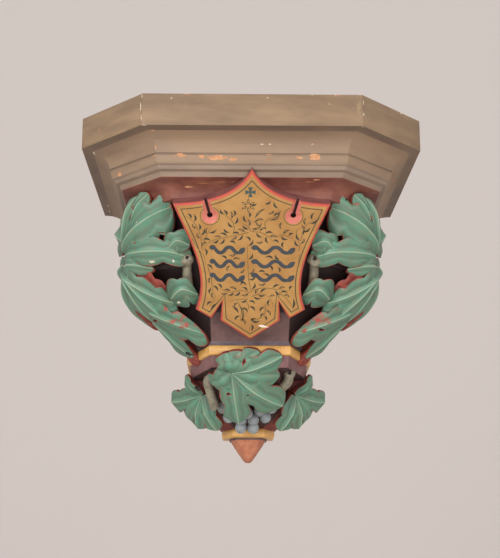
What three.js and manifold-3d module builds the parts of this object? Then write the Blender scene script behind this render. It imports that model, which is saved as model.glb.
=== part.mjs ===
// Wall corbel for a statue, cast in plaster in one piece and painted. A moulded half-octagon shelf
// stands out over a bell-shaped body with a leaning shield, vine leaves round both canted corners,
// a gilded band, a bunch of grapes under a hanging leaf, a small band and a pendant.
// Millimetres, +Z up. The flat back lies in the plane y = 0 and the front faces -Y. The origin is
// the middle of the back where the corbel is fixed. Heights are written as drops below the shelf's top.

import * as THREE from 'three';
import { mergeVertices } from 'three/addons/utils/BufferGeometryUtils.js';
import Module from 'manifold-3d';

const wasm = await Module();
wasm.setup();

// Shelf and its mouldings, from the top down
const shelfTop = 100;
const shelfHalfWidth = 180;
const shelfDepth = 305;
const shelfCant = 69;
const fasciaHeight = 34;
const soffitLip = 2;
const cavettoReach = 27;
const cavettoHeight = 18.6;
const rollReach = 5;
const rollHeight = 11.4;
const filletHeight = 4;
const filletLip = 1;
const quirkReach = 4.5;
const quirkHeight = 1;
const lowerFilletHeight = 5.5;
const lowerFilletSlope = 2.5;
const throatReach = 24;
const throatHeight = 16;
const curveSteps = 4;

// Gilded band round the foot of the body
const bandDrop = 226;
const bandHeight = 11;
const bandHalfWidth = 72;
const bandFrontHalf = 45;
const bandCantStart = 68;
const bandDepth = 140;
const bandBevel = 2.5;
const bandFlare = 5;

// Lower body: the panel under the band, the shaft behind the grapes and the cheeks at the wall
const panelHeight = 13;
const panelInset = 4;
const panelSlope = 3;
const undercut = 16;
const shaftHollow = 1.3;
const cheekInset = 4;
const cheekDepth = 52;
const cheekHollow = 2.2;

// Lower band and pendant
const lowerBandDrop = 306;
const lowerBandHeight = 10;
const lowerBandHalfWidth = 31;
const lowerBandFrontHalf = 18;
const lowerBandCantStart = 26;
const lowerBandDepth = 45;
const neckInset = 9;
const neckHeight = 2;
const pendantInset = 11;
const pendantHeight = 25;
const pendantTipRadius = 5;
const pendantTipDepth = 15;

// Shield: across its face from the middle, and along it from the tip or the apex
const shieldApexSetback = 29;
const shieldApexBelowRoll = 6;
const shieldTipAboveBand = 3;
const shieldTipForward = 12;
const shieldThickness = 29;
const shieldChamfer = 2.5;
const earReach = 82;
const earBelowApex = 38.5;
const topPullReach = 17;
const topPullBelowApex = 37;
const cheekPullReach = 70;
const cheekPullAboveTip = 125;
const waistPullReach = 42;
const waistPullAboveTip = 82;
const lowCornerReach = 59;
const lowCornerAboveTip = 36.5;
const tabReach = 42;
const tabAboveTip = 25.5;
const notchReach = 30.7;
const notchAboveTip = 46;
const notchFootReach = 32.5;
const notchFootAboveTip = 23.5;
const keySlotTopReach = 49;
const keySlotTopBelowApex = 30;
const keySlotFootReach = 43.5;
const keySlotFootBelowApex = 51.5;
const keySlotWidth = 3;
const keySlotDepth = 8;
const keyHoleRadius = 3;
const keyRingRadius = 8.5;
const keyRingDepth = 3;
const backingFootReach = 24;
const backingTopReach = 44;
const backingDepth = 44;

// Leaves
const rimThickness = 6;
const bellyThickness = 25;
const veinHeight = 1.8;
const veinWidth = 2.4;
const toothDepth = 0.34;
const sheetHeadBelowRoll = 2;
const sheetHeadClear = 6;
const sheetHeadFrontInset = 26;
const sheetHeadBehindFillet = 19;
const sheetFootBelowBand = 26;
const sheetFootClear = 8;
const sheetFootBeforeCant = 14;
const sheetFootFrontInset = 3;
const sheetFootBehindBand = 14;
const lobeBaseShare = 0.55;
const lobeWidestShare = 0.45;
const lobeTipShare = 0.14;
const lobeUnderShare = 0.92;
const cornerRound = 42;
const cornerBackLean = 0.3;
const spreadBelly = 14;
const spreadArch = 6;
const spreadDroop = 4;

// Leaves on stalks: where each stalk meets its leaf, and how the leaf stands
const hangingStalkAside = 20;
const hangingStalkBehindBand = 7;
const hangingStalkBelowBand = 31;
const hangingTilt = 39;
const hangingBend = 90;
const lowerStalkInset = 18;
const lowerStalkBeforeCant = 4;
const lowerStalkBelowBand = 46;
const lowerTurn = 33;
const lowerTilt = 25;
const lowerBend = 70;

// Fruit and stems
const grapeRadius = 6.8;
const grapeSpacing = 14;
const bunchShift = 2;
const bunchAboveLowerBand = 13;
const bunchBeforeLowerBand = 33;
const stemRadius = 4.5;
const knobRadius = 7.5;
const sideKnobReach = 68;
const sideKnobBehindShelf = 109;
const sideKnobBelowRoll = 80;
const lowKnobRadius = 6.5;

const castDetail = 0.9;

const HALF_CANT = Math.tan(Math.PI / 8);
const heightAt = (drop) => shelfTop - drop;
const { degToRad, lerp } = THREE.MathUtils;

// Drops and insets that follow from the sizes above
const rollTopDrop = fasciaHeight + cavettoHeight;
const rollFootDrop = rollTopDrop + rollHeight;
const rollInset = soffitLip + cavettoReach;
const filletInset = rollInset + rollReach;
const lowerFilletDrop = rollFootDrop + filletHeight + quirkHeight;
const lowerFilletInset = filletInset + filletLip + quirkReach;
const throatDrop = lowerFilletDrop + lowerFilletHeight;
const throatInset = lowerFilletInset + lowerFilletSlope;

const shelfPlan = {
  side: shelfHalfWidth,
  front: shelfHalfWidth - shelfCant,
  cantStart: shelfDepth - shelfCant,
  depth: shelfDepth,
};
const bandPlan = {
  side: bandHalfWidth,
  front: bandFrontHalf,
  cantStart: bandCantStart,
  depth: bandDepth,
};
const lowerBandPlan = {
  side: lowerBandHalfWidth,
  front: lowerBandFrontHalf,
  cantStart: lowerBandCantStart,
  depth: lowerBandDepth,
};

// Turns a closed geometry into a solid whose faces point outwards.
function toSolid(geometry) {
  const bare = new THREE.BufferGeometry();
  bare.setAttribute('position', geometry.getAttribute('position').clone());
  bare.setIndex(geometry.getIndex() ? geometry.getIndex().clone() : null);
  const merged = mergeVertices(bare, 1e-4);
  const corners = new Uint32Array(merged.getIndex().array);
  const points = merged.getAttribute('position');
  const [a, b, c] = [new THREE.Vector3(), new THREE.Vector3(), new THREE.Vector3()];
  let volume = 0;
  for (let i = 0; i < corners.length; i += 3) {
    a.fromBufferAttribute(points, corners[i]);
    b.fromBufferAttribute(points, corners[i + 1]);
    c.fromBufferAttribute(points, corners[i + 2]);
    volume += a.dot(b.cross(c));
  }
  if (volume < 0) {
    for (let i = 0; i < corners.length; i += 3) {
      [corners[i + 1], corners[i + 2]] = [corners[i + 2], corners[i + 1]];
    }
  }
  const mesh = new wasm.Mesh({
    numProp: 3,
    vertProperties: new Float32Array(points.array),
    triVerts: corners,
  });
  return new wasm.Manifold(mesh);
}

function toGeometry(solid) {
  const mesh = solid.getMesh();
  const geometry = new THREE.BufferGeometry();
  geometry.setAttribute('position', new THREE.BufferAttribute(mesh.vertProperties, 3));
  geometry.setIndex(new THREE.BufferAttribute(mesh.triVerts, 1));
  geometry.computeVertexNormals();
  return geometry;
}

// Half-octagon plan against the wall, as points from the left wall corner round the front.
function planRing({ side, front, cantStart, depth }, drop) {
  const z = heightAt(drop);
  const half = [[side, 0], [side, -cantStart], [front, -depth]];
  const left = half.map(([x, y]) => new THREE.Vector3(-x, y, z));
  const right = half.map(([x, y]) => new THREE.Vector3(x, y, z)).reverse();
  return [...left, ...right];
}

function insetPlan({ side, front, cantStart, depth }, inset) {
  const shift = inset * HALF_CANT;
  return { side: side - inset, front: front - shift, cantStart: cantStart - shift, depth: depth - inset };
}

// Plan between two others. Each of its sizes may take a share of its own.
function mixPlans(low, high, share) {
  const mixed = {};
  for (const key of Object.keys(low)) {
    mixed[key] = lerp(low[key], high[key], share[key] ?? share);
  }
  return mixed;
}

// Closed solid through rings of as many points each, from the top down.
function loft(rings) {
  const count = rings[0].length;
  const indices = [];
  for (let ring = 1; ring < rings.length; ring += 1) {
    const lower = ring * count;
    const upper = lower - count;
    for (let i = 0; i < count; i += 1) {
      const next = (i + 1) % count;
      indices.push(upper + i, lower + i, lower + next, upper + i, lower + next, upper + next);
    }
  }
  const last = (rings.length - 1) * count;
  for (let i = 1; i < count - 1; i += 1) {
    indices.push(0, i, i + 1, last, last + i + 1, last + i);
  }
  const geometry = new THREE.BufferGeometry();
  const positions = rings.flat().flatMap((point) => point.toArray());
  geometry.setAttribute('position', new THREE.Float32BufferAttribute(positions, 3));
  geometry.setIndex(indices);
  return toSolid(geometry);
}

// Points of a quarter turn between two places of a profile of insets and drops. A hollow one starts
// level and ends upright, a round one starts upright and ends level.
function quarterTurn([fromInset, fromDrop], [toInset, toDrop], hollow) {
  const points = [];
  for (let i = 1; i <= curveSteps; i += 1) {
    const turn = (i / curveSteps) * (Math.PI / 2);
    const quick = Math.sin(turn);
    const slow = 1 - Math.cos(turn);
    const [across, down] = hollow ? [quick, slow] : [slow, quick];
    points.push([lerp(fromInset, toInset, across), lerp(fromDrop, toDrop, down)]);
  }
  return points;
}

// Shelf: fascia, cavetto, roll, two fillets with a quirk between them, and the hollow throat.
function makeShelf() {
  const profile = [
    [0, 0],
    [0, fasciaHeight],
    [soffitLip, fasciaHeight],
    ...quarterTurn([soffitLip, fasciaHeight], [rollInset, rollTopDrop], true),
    ...quarterTurn([rollInset, rollTopDrop], [filletInset, rollFootDrop], false),
    [filletInset + filletLip, rollFootDrop + filletHeight],
    [filletInset + quirkReach, lowerFilletDrop],
    [lowerFilletInset, lowerFilletDrop],
    [throatInset, throatDrop],
    ...quarterTurn([throatInset, throatDrop], [throatInset + throatReach, throatDrop + throatHeight], true),
  ];
  return loft(profile.map(([inset, drop]) => planRing(insetPlan(shelfPlan, inset), drop)));
}

// Body behind the leaves, which narrows from the throat to the gilded band. Each row is a share of
// the fall and of the way from the foot's plan back to the head's.
function makeBell() {
  const head = insetPlan(shelfPlan, throatInset + throatReach);
  const foot = insetPlan(bandPlan, bandFlare);
  const rows = [
    { fall: 0, share: 1 },
    { fall: 0.2, share: { side: 1.04, front: 0.51, cantStart: 0.78, depth: 0.76 } },
    { fall: 0.48, share: { side: 1.16, front: 0.14, cantStart: 0.66, depth: 0.49 } },
    { fall: 0.77, share: { side: 0.8, front: 0.03, cantStart: 0.42, depth: 0.17 } },
    { fall: 1, share: 0 },
  ];
  const rings = rows.map(({ fall, share }) => {
    const drop = lerp(throatDrop, bandDrop - bandFlare, fall);
    return planRing(mixPlans(foot, head, share), drop);
  });
  rings.push(...bandRings(bandPlan, bandDrop, bandHeight));
  return loft(rings);
}

function bandRings(plan, drop, height) {
  return [
    planRing(insetPlan(plan, bandBevel), drop),
    planRing(plan, drop + bandBevel),
    planRing(plan, drop + height - bandBevel),
    planRing(insetPlan(plan, bandBevel), drop + height),
  ];
}

// Lower body, lower band, neck and pendant.
function makeLowerBody() {
  const top = bandDrop + bandHeight - bandBevel / 2;
  const panelFoot = bandDrop + bandHeight + panelHeight;
  const shaftTop = insetPlan(bandPlan, panelInset + panelSlope + undercut);
  const shaftFoot = insetPlan(lowerBandPlan, panelSlope);
  const rings = [
    planRing(insetPlan(bandPlan, panelInset), top),
    planRing(insetPlan(bandPlan, panelInset + panelSlope), panelFoot),
  ];
  for (let i = 0; i <= curveSteps; i += 1) {
    const share = i / curveSteps;
    const drop = lerp(panelFoot + bandBevel, lowerBandDrop, share);
    rings.push(planRing(mixPlans(shaftTop, shaftFoot, share ** shaftHollow), drop));
  }
  rings.push(...bandRings(lowerBandPlan, lowerBandDrop, lowerBandHeight));
  const neckTop = lowerBandDrop + lowerBandHeight;
  rings.push(planRing(insetPlan(lowerBandPlan, neckInset), neckTop));
  rings.push(planRing(insetPlan(lowerBandPlan, neckInset), neckTop + neckHeight));
  const pendant = insetPlan(lowerBandPlan, pendantInset);
  const tip = {
    side: pendantTipRadius,
    front: pendantTipRadius * HALF_CANT,
    cantStart: pendantTipDepth - pendantTipRadius,
    depth: pendantTipDepth,
  };
  const pendantTop = neckTop + neckHeight;
  const tipDrop = pendantTop + pendantHeight;
  rings.push(planRing(pendant, pendantTop));
  rings.push(planRing(tip, tipDrop - pendantTipRadius / 2));
  rings.push(planRing(mixPlans(tip, pendant, -0.25), tipDrop));
  return loft(rings);
}

// Cheeks: a wide, shallow body against the wall behind the lower leaves.
function makeCheeks() {
  const head = insetPlan(bandPlan, cheekInset);
  head.cantStart = cheekDepth;
  head.depth = cheekDepth + bandBevel;
  const rings = [];
  for (let i = 0; i <= curveSteps; i += 1) {
    const share = i / curveSteps;
    const drop = lerp(bandDrop + bandHeight, lowerBandDrop + bandBevel, share);
    rings.push(planRing(mixPlans(head, insetPlan(lowerBandPlan, panelSlope), share ** cheekHollow), drop));
  }
  return loft(rings);
}

// Shield's own frame: across is X, up runs from the tip to the apex, and the face looks outward.
const shieldTip = new THREE.Vector3(
  0,
  -bandDepth - shieldTipForward,
  heightAt(bandDrop - shieldTipAboveBand),
);
const shieldApex = new THREE.Vector3(
  0,
  shieldApexSetback - shelfDepth,
  heightAt(rollFootDrop + shieldApexBelowRoll),
);
const shieldLength = shieldApex.distanceTo(shieldTip);

function toShieldSolid(geometry) {
  const across = new THREE.Vector3(1, 0, 0);
  const up = shieldApex.clone().sub(shieldTip).normalize();
  const frame = new THREE.Matrix4().makeBasis(across, up, across.clone().cross(up));
  geometry.applyMatrix4(frame.setPosition(shieldTip));
  return toSolid(geometry);
}

function shieldOutline() {
  const feet = [
    [notchFootReach, notchFootAboveTip],
    [notchReach, notchAboveTip],
    [tabReach, tabAboveTip],
    [lowCornerReach, lowCornerAboveTip],
  ];
  const ear = [earReach, shieldLength - earBelowApex];
  const cheekPull = [cheekPullReach, cheekPullAboveTip];
  const waistPull = [waistPullReach, waistPullAboveTip];
  const topPull = [topPullReach, shieldLength - topPullBelowApex];
  const outline = new THREE.Shape();
  outline.moveTo(0, 0);
  for (const [x, y] of feet) {
    outline.lineTo(x, y);
  }
  outline.bezierCurveTo(...waistPull, ...cheekPull, ...ear);
  outline.quadraticCurveTo(...topPull, 0, shieldLength);
  const mirrored = ([x, y]) => [-x, y];
  outline.quadraticCurveTo(...mirrored(topPull), ...mirrored(ear));
  outline.bezierCurveTo(...mirrored(cheekPull), ...mirrored(waistPull), ...mirrored(feet.at(-1)));
  for (const [x, y] of feet.slice(0, -1).reverse()) {
    outline.lineTo(-x, y);
  }
  outline.closePath();
  return outline;
}

// Shield: a thick chamfered plate with notches at its foot, a countersunk key slot near each ear,
// and a narrower block behind it that runs into the body.
function makeShield() {
  const plate = new THREE.ExtrudeGeometry(shieldOutline(), {
    depth: shieldThickness - 2 * shieldChamfer,
    bevelThickness: shieldChamfer,
    bevelSize: shieldChamfer,
    bevelOffset: -shieldChamfer,
    bevelSegments: 1,
    curveSegments: 6,
  });
  plate.translate(0, 0, shieldChamfer - shieldThickness);
  let shield = toShieldSolid(plate);
  for (const side of [1, -1]) {
    const top = new THREE.Vector2(side * keySlotTopReach, shieldLength - keySlotTopBelowApex);
    const foot = new THREE.Vector2(side * keySlotFootReach, shieldLength - keySlotFootBelowApex);
    const run = top.clone().sub(foot);
    const slot = new THREE.BoxGeometry(run.length(), keySlotWidth, 2 * keySlotDepth);
    slot.translate(run.length() / 2, 0, 0);
    slot.rotateZ(run.angle());
    const hole = new THREE.CylinderGeometry(keyHoleRadius, keyHoleRadius, 3 * keySlotDepth, 8);
    hole.rotateX(Math.PI / 2);
    const ringTop = 2 * keyRingRadius - keyHoleRadius;
    const ring = new THREE.CylinderGeometry(ringTop, keyHoleRadius, 2 * keyRingDepth, 12);
    ring.rotateX(Math.PI / 2);
    for (const cut of [slot, hole, ring]) {
      cut.translate(foot.x, foot.y, 0);
      shield = shield.subtract(toShieldSolid(cut));
    }
  }
  const backing = new THREE.Shape();
  backing.moveTo(-backingFootReach, tabAboveTip);
  backing.lineTo(backingFootReach, tabAboveTip);
  backing.lineTo(backingTopReach, shieldLength - keySlotFootBelowApex);
  backing.lineTo(-backingTopReach, shieldLength - keySlotFootBelowApex);
  const block = new THREE.ExtrudeGeometry(backing, { depth: backingDepth, bevelEnabled: false });
  block.translate(0, 0, -backingDepth - shieldThickness / 2);
  return shield.add(toShieldSolid(block));
}

// Sheet that the side leaves follow round a canted corner, between the shelf and the band. Each row
// is a share of the fall, and shares of the way from the sheet's foot back to its head.
const sheetHeadDrop = rollFootDrop + sheetHeadBelowRoll;
const sheetFootDrop = bandDrop + sheetFootBelowBand;
const sheetHead = {
  outX: shelfHalfWidth - filletInset + sheetHeadClear,
  outDepth: shelfDepth - shelfCant - filletInset / 3 + sheetHeadClear,
  frontX: shelfHalfWidth - shelfCant - sheetHeadFrontInset,
  frontDepth: shelfDepth - filletInset - sheetHeadBehindFillet,
};
const sheetFoot = {
  outX: bandHalfWidth + sheetFootClear,
  outDepth: bandCantStart + sheetFootBeforeCant,
  frontX: bandFrontHalf - sheetFootFrontInset,
  frontDepth: bandDepth - sheetFootBehindBand,
};
const sheetRows = [
  { fall: 0, outX: 1, outDepth: 1, frontX: 1, frontDepth: 1 },
  { fall: 0.45, outX: 1.14, outDepth: 0.73, frontX: 0.465, frontDepth: 0.6 },
  { fall: 0.667, outX: 0.89, outDepth: 0.486, frontX: 0.14, frontDepth: 0.333 },
  { fall: 0.82, outX: 0.4, outDepth: 0.25, frontX: 0.03, frontDepth: 0.16 },
  { fall: 1, outX: 0, outDepth: 0, frontX: 0, frontDepth: 0 },
];

// One of the sheet's sizes at a fall, on a smooth curve through the rows.
function sheetSize(key, fall) {
  const last = sheetRows.length - 1;
  let i = 0;
  while (i < last - 1 && fall > sheetRows[i + 1].fall) {
    i += 1;
  }
  const slope = (k) => {
    const before = sheetRows[Math.max(k - 1, 0)];
    const after = sheetRows[Math.min(k + 1, last)];
    return (after[key] - before[key]) / (after.fall - before.fall);
  };
  const [from, to] = [sheetRows[i], sheetRows[i + 1]];
  const run = to.fall - from.fall;
  const t = (fall - from.fall) / run;
  const turn = t * t * (3 - 2 * t);
  const rise = t * (1 - t) * run;
  const share = lerp(from[key], to[key], turn) + rise * ((1 - t) * slope(i) - t * slope(i + 1));
  return lerp(sheetFoot[key], sheetHead[key], share);
}

// Point of the sheet round the right corner. Round is the way along it from the corner, towards the
// front where it is positive. Fall is in hundredths from the sheet's head, and out is in front of it.
function cornerSheet(round, fall, out) {
  const share = fall / 100;
  const corner = new THREE.Vector2(sheetSize('outX', share), -sheetSize('outDepth', share));
  const front = new THREE.Vector2(sheetSize('frontX', share), -sheetSize('frontDepth', share));
  const ahead = front.sub(corner).normalize();
  const back = new THREE.Vector2(-cornerBackLean, 1).normalize();
  const root = Math.hypot(round, cornerRound);
  corner.addScaledVector(ahead, (root + round) / 2).addScaledVector(back, (root - round) / 2);
  const turn = round / root;
  const along = ahead.multiplyScalar(1 + turn).addScaledVector(back, turn - 1).normalize();
  const drop = lerp(sheetHeadDrop, sheetFootDrop, share);
  return new THREE.Vector3(corner.x - along.y * out, corner.y + along.x * out, heightAt(drop));
}
cornerSheet.fallUnit = 100 / (sheetFootDrop - sheetHeadDrop);

// Sheet of a leaf that hangs from its stalk: a plate turned about Z and tilted forward, bent round
// its middle. It reads across and down the plate from the stalk.
function plateSheet({ x, depth, drop, turn, tilt, bend }) {
  const frame = new THREE.Matrix4().makeRotationZ(degToRad(turn));
  frame.multiply(new THREE.Matrix4().makeRotationX(degToRad(tilt)));
  frame.setPosition(x, -depth, heightAt(drop));
  const sheet = (across, fall, out) => {
    const local = new THREE.Vector3(across, (across * across) / (2 * bend) - out, -fall);
    return local.applyMatrix4(frame);
  };
  sheet.fallUnit = 1;
  return sheet;
}

// Lobe of a leaf: a blade along a spine on a sheet, with a raised vein, toothed sides that bend
// back, and a belly behind it that runs into the body.
function makeLobe(sheet, lobe, mirror) {
  const { spine, upper, lower, blunt = 2, cup = 0.25, belly = bellyThickness, steps = 6 } = lobe;
  const unit = sheet.fallUnit;
  const curve = new THREE.CatmullRomCurve3(spine.map(([x, y, z]) => new THREE.Vector3(x, y / unit, z)));
  const geometry = new THREE.BoxGeometry(1, 2, 1, steps, 4, 1);
  const position = geometry.getAttribute('position');
  for (let i = 0; i < position.count; i += 1) {
    const u = position.getX(i) + 0.5;
    const v = position.getY(i);
    const onTop = position.getZ(i) > 0;
    const centre = curve.getPoint(u);
    const ahead = curve.getTangent(u).setZ(0).normalize();
    const toTip = Math.max(u - lobeWidestShare, 0) / (1 - lobeWidestShare);
    const toBase = Math.max(lobeWidestShare - u, 0) / lobeWidestShare;
    const round = (1 - toTip ** blunt) ** (1 / blunt);
    const taper = Math.max(round, lobeTipShare) - (1 - lobeBaseShare) * toBase ** 2;
    const tooth = 1 + toothDepth * (Math.abs(Math.sin(Math.PI * (steps / 2) * u)) - 0.5);
    const width = (v > 0 ? upper : lower) * taper * tooth;
    const aside = v * width * (onTop ? 1 : lobeUnderShare);
    const vein = veinHeight * Math.exp(-((aside / veinWidth) ** 2));
    const thickness = rimThickness + (belly - rimThickness) * (1 - v * v) * (1 - u * u);
    const out = centre.z - cup * width * v * v + (onTop ? vein : -thickness);
    const place = sheet(centre.x + ahead.y * aside, (centre.y - ahead.x * aside) * unit, out);
    position.setXYZ(i, mirror * place.x, place.y, place.z);
  }
  return toSolid(geometry);
}

// Lobes that spread from one stalk, each with an angle above the level, a reach and a half width.
// Their tips droop, but for one that is given its own way out.
function spreadLobes(lobes) {
  return lobes.map(([angle, reach, halfWidth, tipOut = -spreadDroop]) => {
    const turn = degToRad(angle);
    const at = (share, out) => [share * reach * Math.cos(turn), -share * reach * Math.sin(turn), out];
    const spine = [at(0, 0), at(0.4, spreadArch), at(0.75, lerp(spreadArch, tipOut, 0.4)), at(1, tipOut)];
    return { spine, upper: halfWidth, lower: halfWidth, belly: spreadBelly, steps: 4 };
  });
}

// Two vine leaves on each corner. Their spines run round the corner, down in hundredths, and out.
const cornerLobes = [
  { spine: [[-6, 34, 2], [2, 24, 7], [8, 15, 8], [18, 8, 2]], upper: 9, lower: 9, steps: 4 },
  { spine: [[-4, 35, 2], [24, 27, 10], [48, 20.5, 9], [66, 15.5, -2]], upper: 18, lower: 23, blunt: 3 },
  {
    spine: [[-8, 38.6, -3], [20, 38.7, 8], [46, 39.1, 12], [71, 39.8, 10], [94, 41.5, -5]],
    upper: 13,
    lower: 11,
    blunt: 3,
  },
  { spine: [[64, 40, 5], [78, 34.5, 10], [92, 35.5, 1]], upper: 12, lower: 11, steps: 4 },
  {
    spine: [[-10, 45, 0], [12, 53, 10], [30, 59, 12], [46, 62.6, 8], [58, 63.2, -3]],
    upper: 19,
    lower: 12,
    blunt: 3,
  },
  { spine: [[56, 62, 3], [76, 58.5, 11], [91, 60, 1]], upper: 12, lower: 12, steps: 4 },
  {
    spine: [[-8, 46.5, 3], [10, 53, 10], [20, 61, 12], [28, 68, 10], [30, 75, 2]],
    upper: 14,
    lower: 13,
    steps: 4,
  },
  { spine: [[-12, 47, 1], [4, 56, 8], [8, 64, 9], [6, 73, 1]], upper: 13, lower: 15, steps: 4 },
  { spine: [[6, 64, 3], [24, 70.5, 10], [42, 76, 13], [60, 79.5, 2]], upper: 17, lower: 15, blunt: 4 },
  { spine: [[4, 72, 3], [10, 78, 9], [13, 84, 9], [18, 90.5, -1]], upper: 13, lower: 13, steps: 4 },
  { spine: [[-4, 30, 4], [-26, 24, 9], [-50, 20, 8], [-72, 17, -3]], upper: 20, lower: 20, steps: 4 },
  { spine: [[-6, 42, 0], [-28, 44, 5], [-52, 46, 4], [-72, 48, -6]], upper: 13, lower: 13, steps: 4 },
  { spine: [[-8, 50, 4], [-22, 58, 7], [-36, 65, 5], [-48, 71, -5]], upper: 15, lower: 15, steps: 4 },
];

// Lobes of the leaves at the foot: angle above the level, reach from the stalk, and half width. The
// pointed side lobe of the lower leaves has a tip that stands out.
const hangingLobes = [
  [10, 57, 13],
  [-41, 77, 18],
  [-83, 67, 15],
  [-130, 29, 14],
  [92, 22, 12],
  [46, 30, 13],
];
const lowerLobes = [
  [60, 28, 11],
  [-8, 53, 13, 8],
  [-34, 48, 13],
  [-62, 46, 13],
  [-98, 45, 12],
];

const hangingLeaf = {
  sheet: plateSheet({
    x: -hangingStalkAside,
    depth: bandDepth - hangingStalkBehindBand,
    drop: bandDrop + hangingStalkBelowBand,
    turn: 0,
    tilt: hangingTilt,
    bend: hangingBend,
  }),
  lobes: spreadLobes(hangingLobes),
};
const lowerLeaf = {
  sheet: plateSheet({
    x: bandHalfWidth - lowerStalkInset,
    depth: bandCantStart + lowerStalkBeforeCant,
    drop: bandDrop + lowerStalkBelowBand,
    turn: lowerTurn,
    tilt: lowerTilt,
    bend: lowerBend,
  }),
  lobes: spreadLobes(lowerLobes),
};

function makeBall(x, depth, drop, radius) {
  const ball = new THREE.IcosahedronGeometry(radius, 1);
  ball.translate(x, -depth, heightAt(drop));
  return toSolid(ball);
}

function makeStem(points) {
  const places = points.map(([x, depth, drop]) => new THREE.Vector3(x, -depth, heightAt(drop)));
  const path = new THREE.CatmullRomCurve3(places);
  const section = new THREE.Shape().absarc(0, 0, stemRadius, 0, 2 * Math.PI);
  return toSolid(new THREE.ExtrudeGeometry(section, { steps: 6, curveSegments: 4, extrudePath: path }));
}

// Bunch of grapes under the hanging leaf, in rows that step back and narrow as they go down.
function makeGrapes() {
  const grapes = [];
  [5, 4, 2].forEach((count, row) => {
    const depth = lowerBandDepth + bunchBeforeLowerBand - row * grapeSpacing * 0.4;
    const drop = lowerBandDrop - bunchAboveLowerBand + row * grapeSpacing * 0.6;
    for (let i = 0; i < count; i += 1) {
      const aside = (i - (count - 1) / 2) * grapeSpacing;
      const back = Math.abs(aside) / 4;
      grapes.push(makeBall(aside - bunchShift, depth - back, drop - back, grapeRadius));
    }
  });
  return grapes;
}

// Way of the stem between the side leaves, from its knob: aside, forward and down.
const sideStem = [
  [0, -8, 1],
  [2, -14, 11],
  [-2, -28, 27],
];

// Ways of the two cut stems over the grapes. Each point is aside from the middle, and forward and
// down from the front of the gilded band.
const lowStems = [
  [
    [-32, -32, 27],
    [-48, -36, 30],
    [-45, -42, 44],
    [-38, -54, 62],
  ],
  [
    [45, -32, 26],
    [45, -38, 34],
    [36, -40, 42],
    [28, -44, 52],
  ],
];

// Stems and knobs: one pair between the side leaves, one pair under the gilded band.
function makeStems() {
  const solids = [];
  const sideDepth = shelfDepth - sideKnobBehindShelf;
  const sideDrop = rollFootDrop + sideKnobBelowRoll;
  for (const side of [1, -1]) {
    const knobX = side * sideKnobReach;
    const way = sideStem.map(([aside, forward, down]) => [
      knobX + side * aside,
      sideDepth + forward,
      sideDrop + down,
    ]);
    solids.push(makeBall(knobX, sideDepth, sideDrop, knobRadius), makeStem(way));
  }
  for (const stem of lowStems) {
    const way = stem.map(([aside, forward, down]) => [aside, bandDepth + forward, bandDrop + down]);
    solids.push(makeBall(...way[0], lowKnobRadius), makeStem(way));
  }
  return solids;
}

const body = [makeShelf(), makeBell(), makeLowerBody(), makeCheeks(), makeShield()];
const pieces = [...body, ...makeGrapes(), ...makeStems()];
for (const mirror of [1, -1]) {
  for (const lobe of cornerLobes) {
    pieces.push(makeLobe(cornerSheet, lobe, mirror));
  }
  for (const lobe of lowerLeaf.lobes) {
    pieces.push(makeLobe(lowerLeaf.sheet, lobe, mirror));
  }
}
for (const lobe of hangingLeaf.lobes) {
  pieces.push(makeLobe(hangingLeaf.sheet, lobe, 1));
}

// The casting is solid plaster, so only its outer skin is kept, without hollows sealed inside it.
// Edges shorter than the finest detail of a cast are closed up.
const skins = pieces.reduce((whole, piece) => whole.add(piece)).simplify(castDetail).decompose();
const casting = skins.reduce((largest, skin) => (skin.volume() > largest.volume() ? skin : largest));

const corbel = new THREE.Mesh(
  toGeometry(casting),
  new THREE.MeshStandardMaterial({ color: 0x8d7a62, roughness: 0.75, metalness: 0 }),
);
corbel.name = 'corbel';

const object = new THREE.Group();
object.add(corbel);

export default object;
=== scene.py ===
import math

import bmesh
import bpy
import numpy as np
from mathutils import Matrix, Vector, noise


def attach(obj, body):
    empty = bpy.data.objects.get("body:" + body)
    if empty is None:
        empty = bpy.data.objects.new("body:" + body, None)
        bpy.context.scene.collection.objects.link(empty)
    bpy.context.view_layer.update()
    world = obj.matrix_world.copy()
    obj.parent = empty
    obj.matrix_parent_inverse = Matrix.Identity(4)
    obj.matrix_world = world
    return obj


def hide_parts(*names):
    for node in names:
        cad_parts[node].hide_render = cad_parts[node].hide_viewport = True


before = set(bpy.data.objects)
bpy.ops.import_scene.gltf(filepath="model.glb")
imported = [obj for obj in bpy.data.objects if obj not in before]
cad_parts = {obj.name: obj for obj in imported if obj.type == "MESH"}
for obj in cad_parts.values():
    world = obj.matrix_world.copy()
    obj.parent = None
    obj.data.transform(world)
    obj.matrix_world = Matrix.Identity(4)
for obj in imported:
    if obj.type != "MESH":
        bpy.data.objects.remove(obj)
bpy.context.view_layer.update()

# Shelf. The half-octagon top that carries the statue is cast in plaster and painted grey-brown,
# with its fillets wiped lighter. Its mouldings run round the front and both cants and stop at the
# wall, so it is worked as a whole octagon and halved there.
MM = 0.001
SHELF_TOP = 100
SHELF_HALF_WIDTH = 180
SHELF_DEPTH = 305
SHELF_CANT = 69
FASCIA_HEIGHT = 34
HALF_CANT = math.tan(math.pi / 8)


def to_linear(colour):
    values = [int(colour[i:i + 2], 16) / 255 for i in (1, 3, 5)]
    return [v / 12.92 if v <= 0.04045 else ((v + 0.055) / 1.055) ** 2.4 for v in values] + [1]


def add_node(material, kind, sockets=(), **settings):
    node = material.node_tree.nodes.new(kind)
    for name, value in settings.items():
        setattr(node, name, value)
    for socket, value in dict(sockets).items():
        if isinstance(value, bpy.types.NodeSocket):
            material.node_tree.links.new(value, node.inputs[socket])
        else:
            node.inputs[socket].default_value = value
    return node


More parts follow.
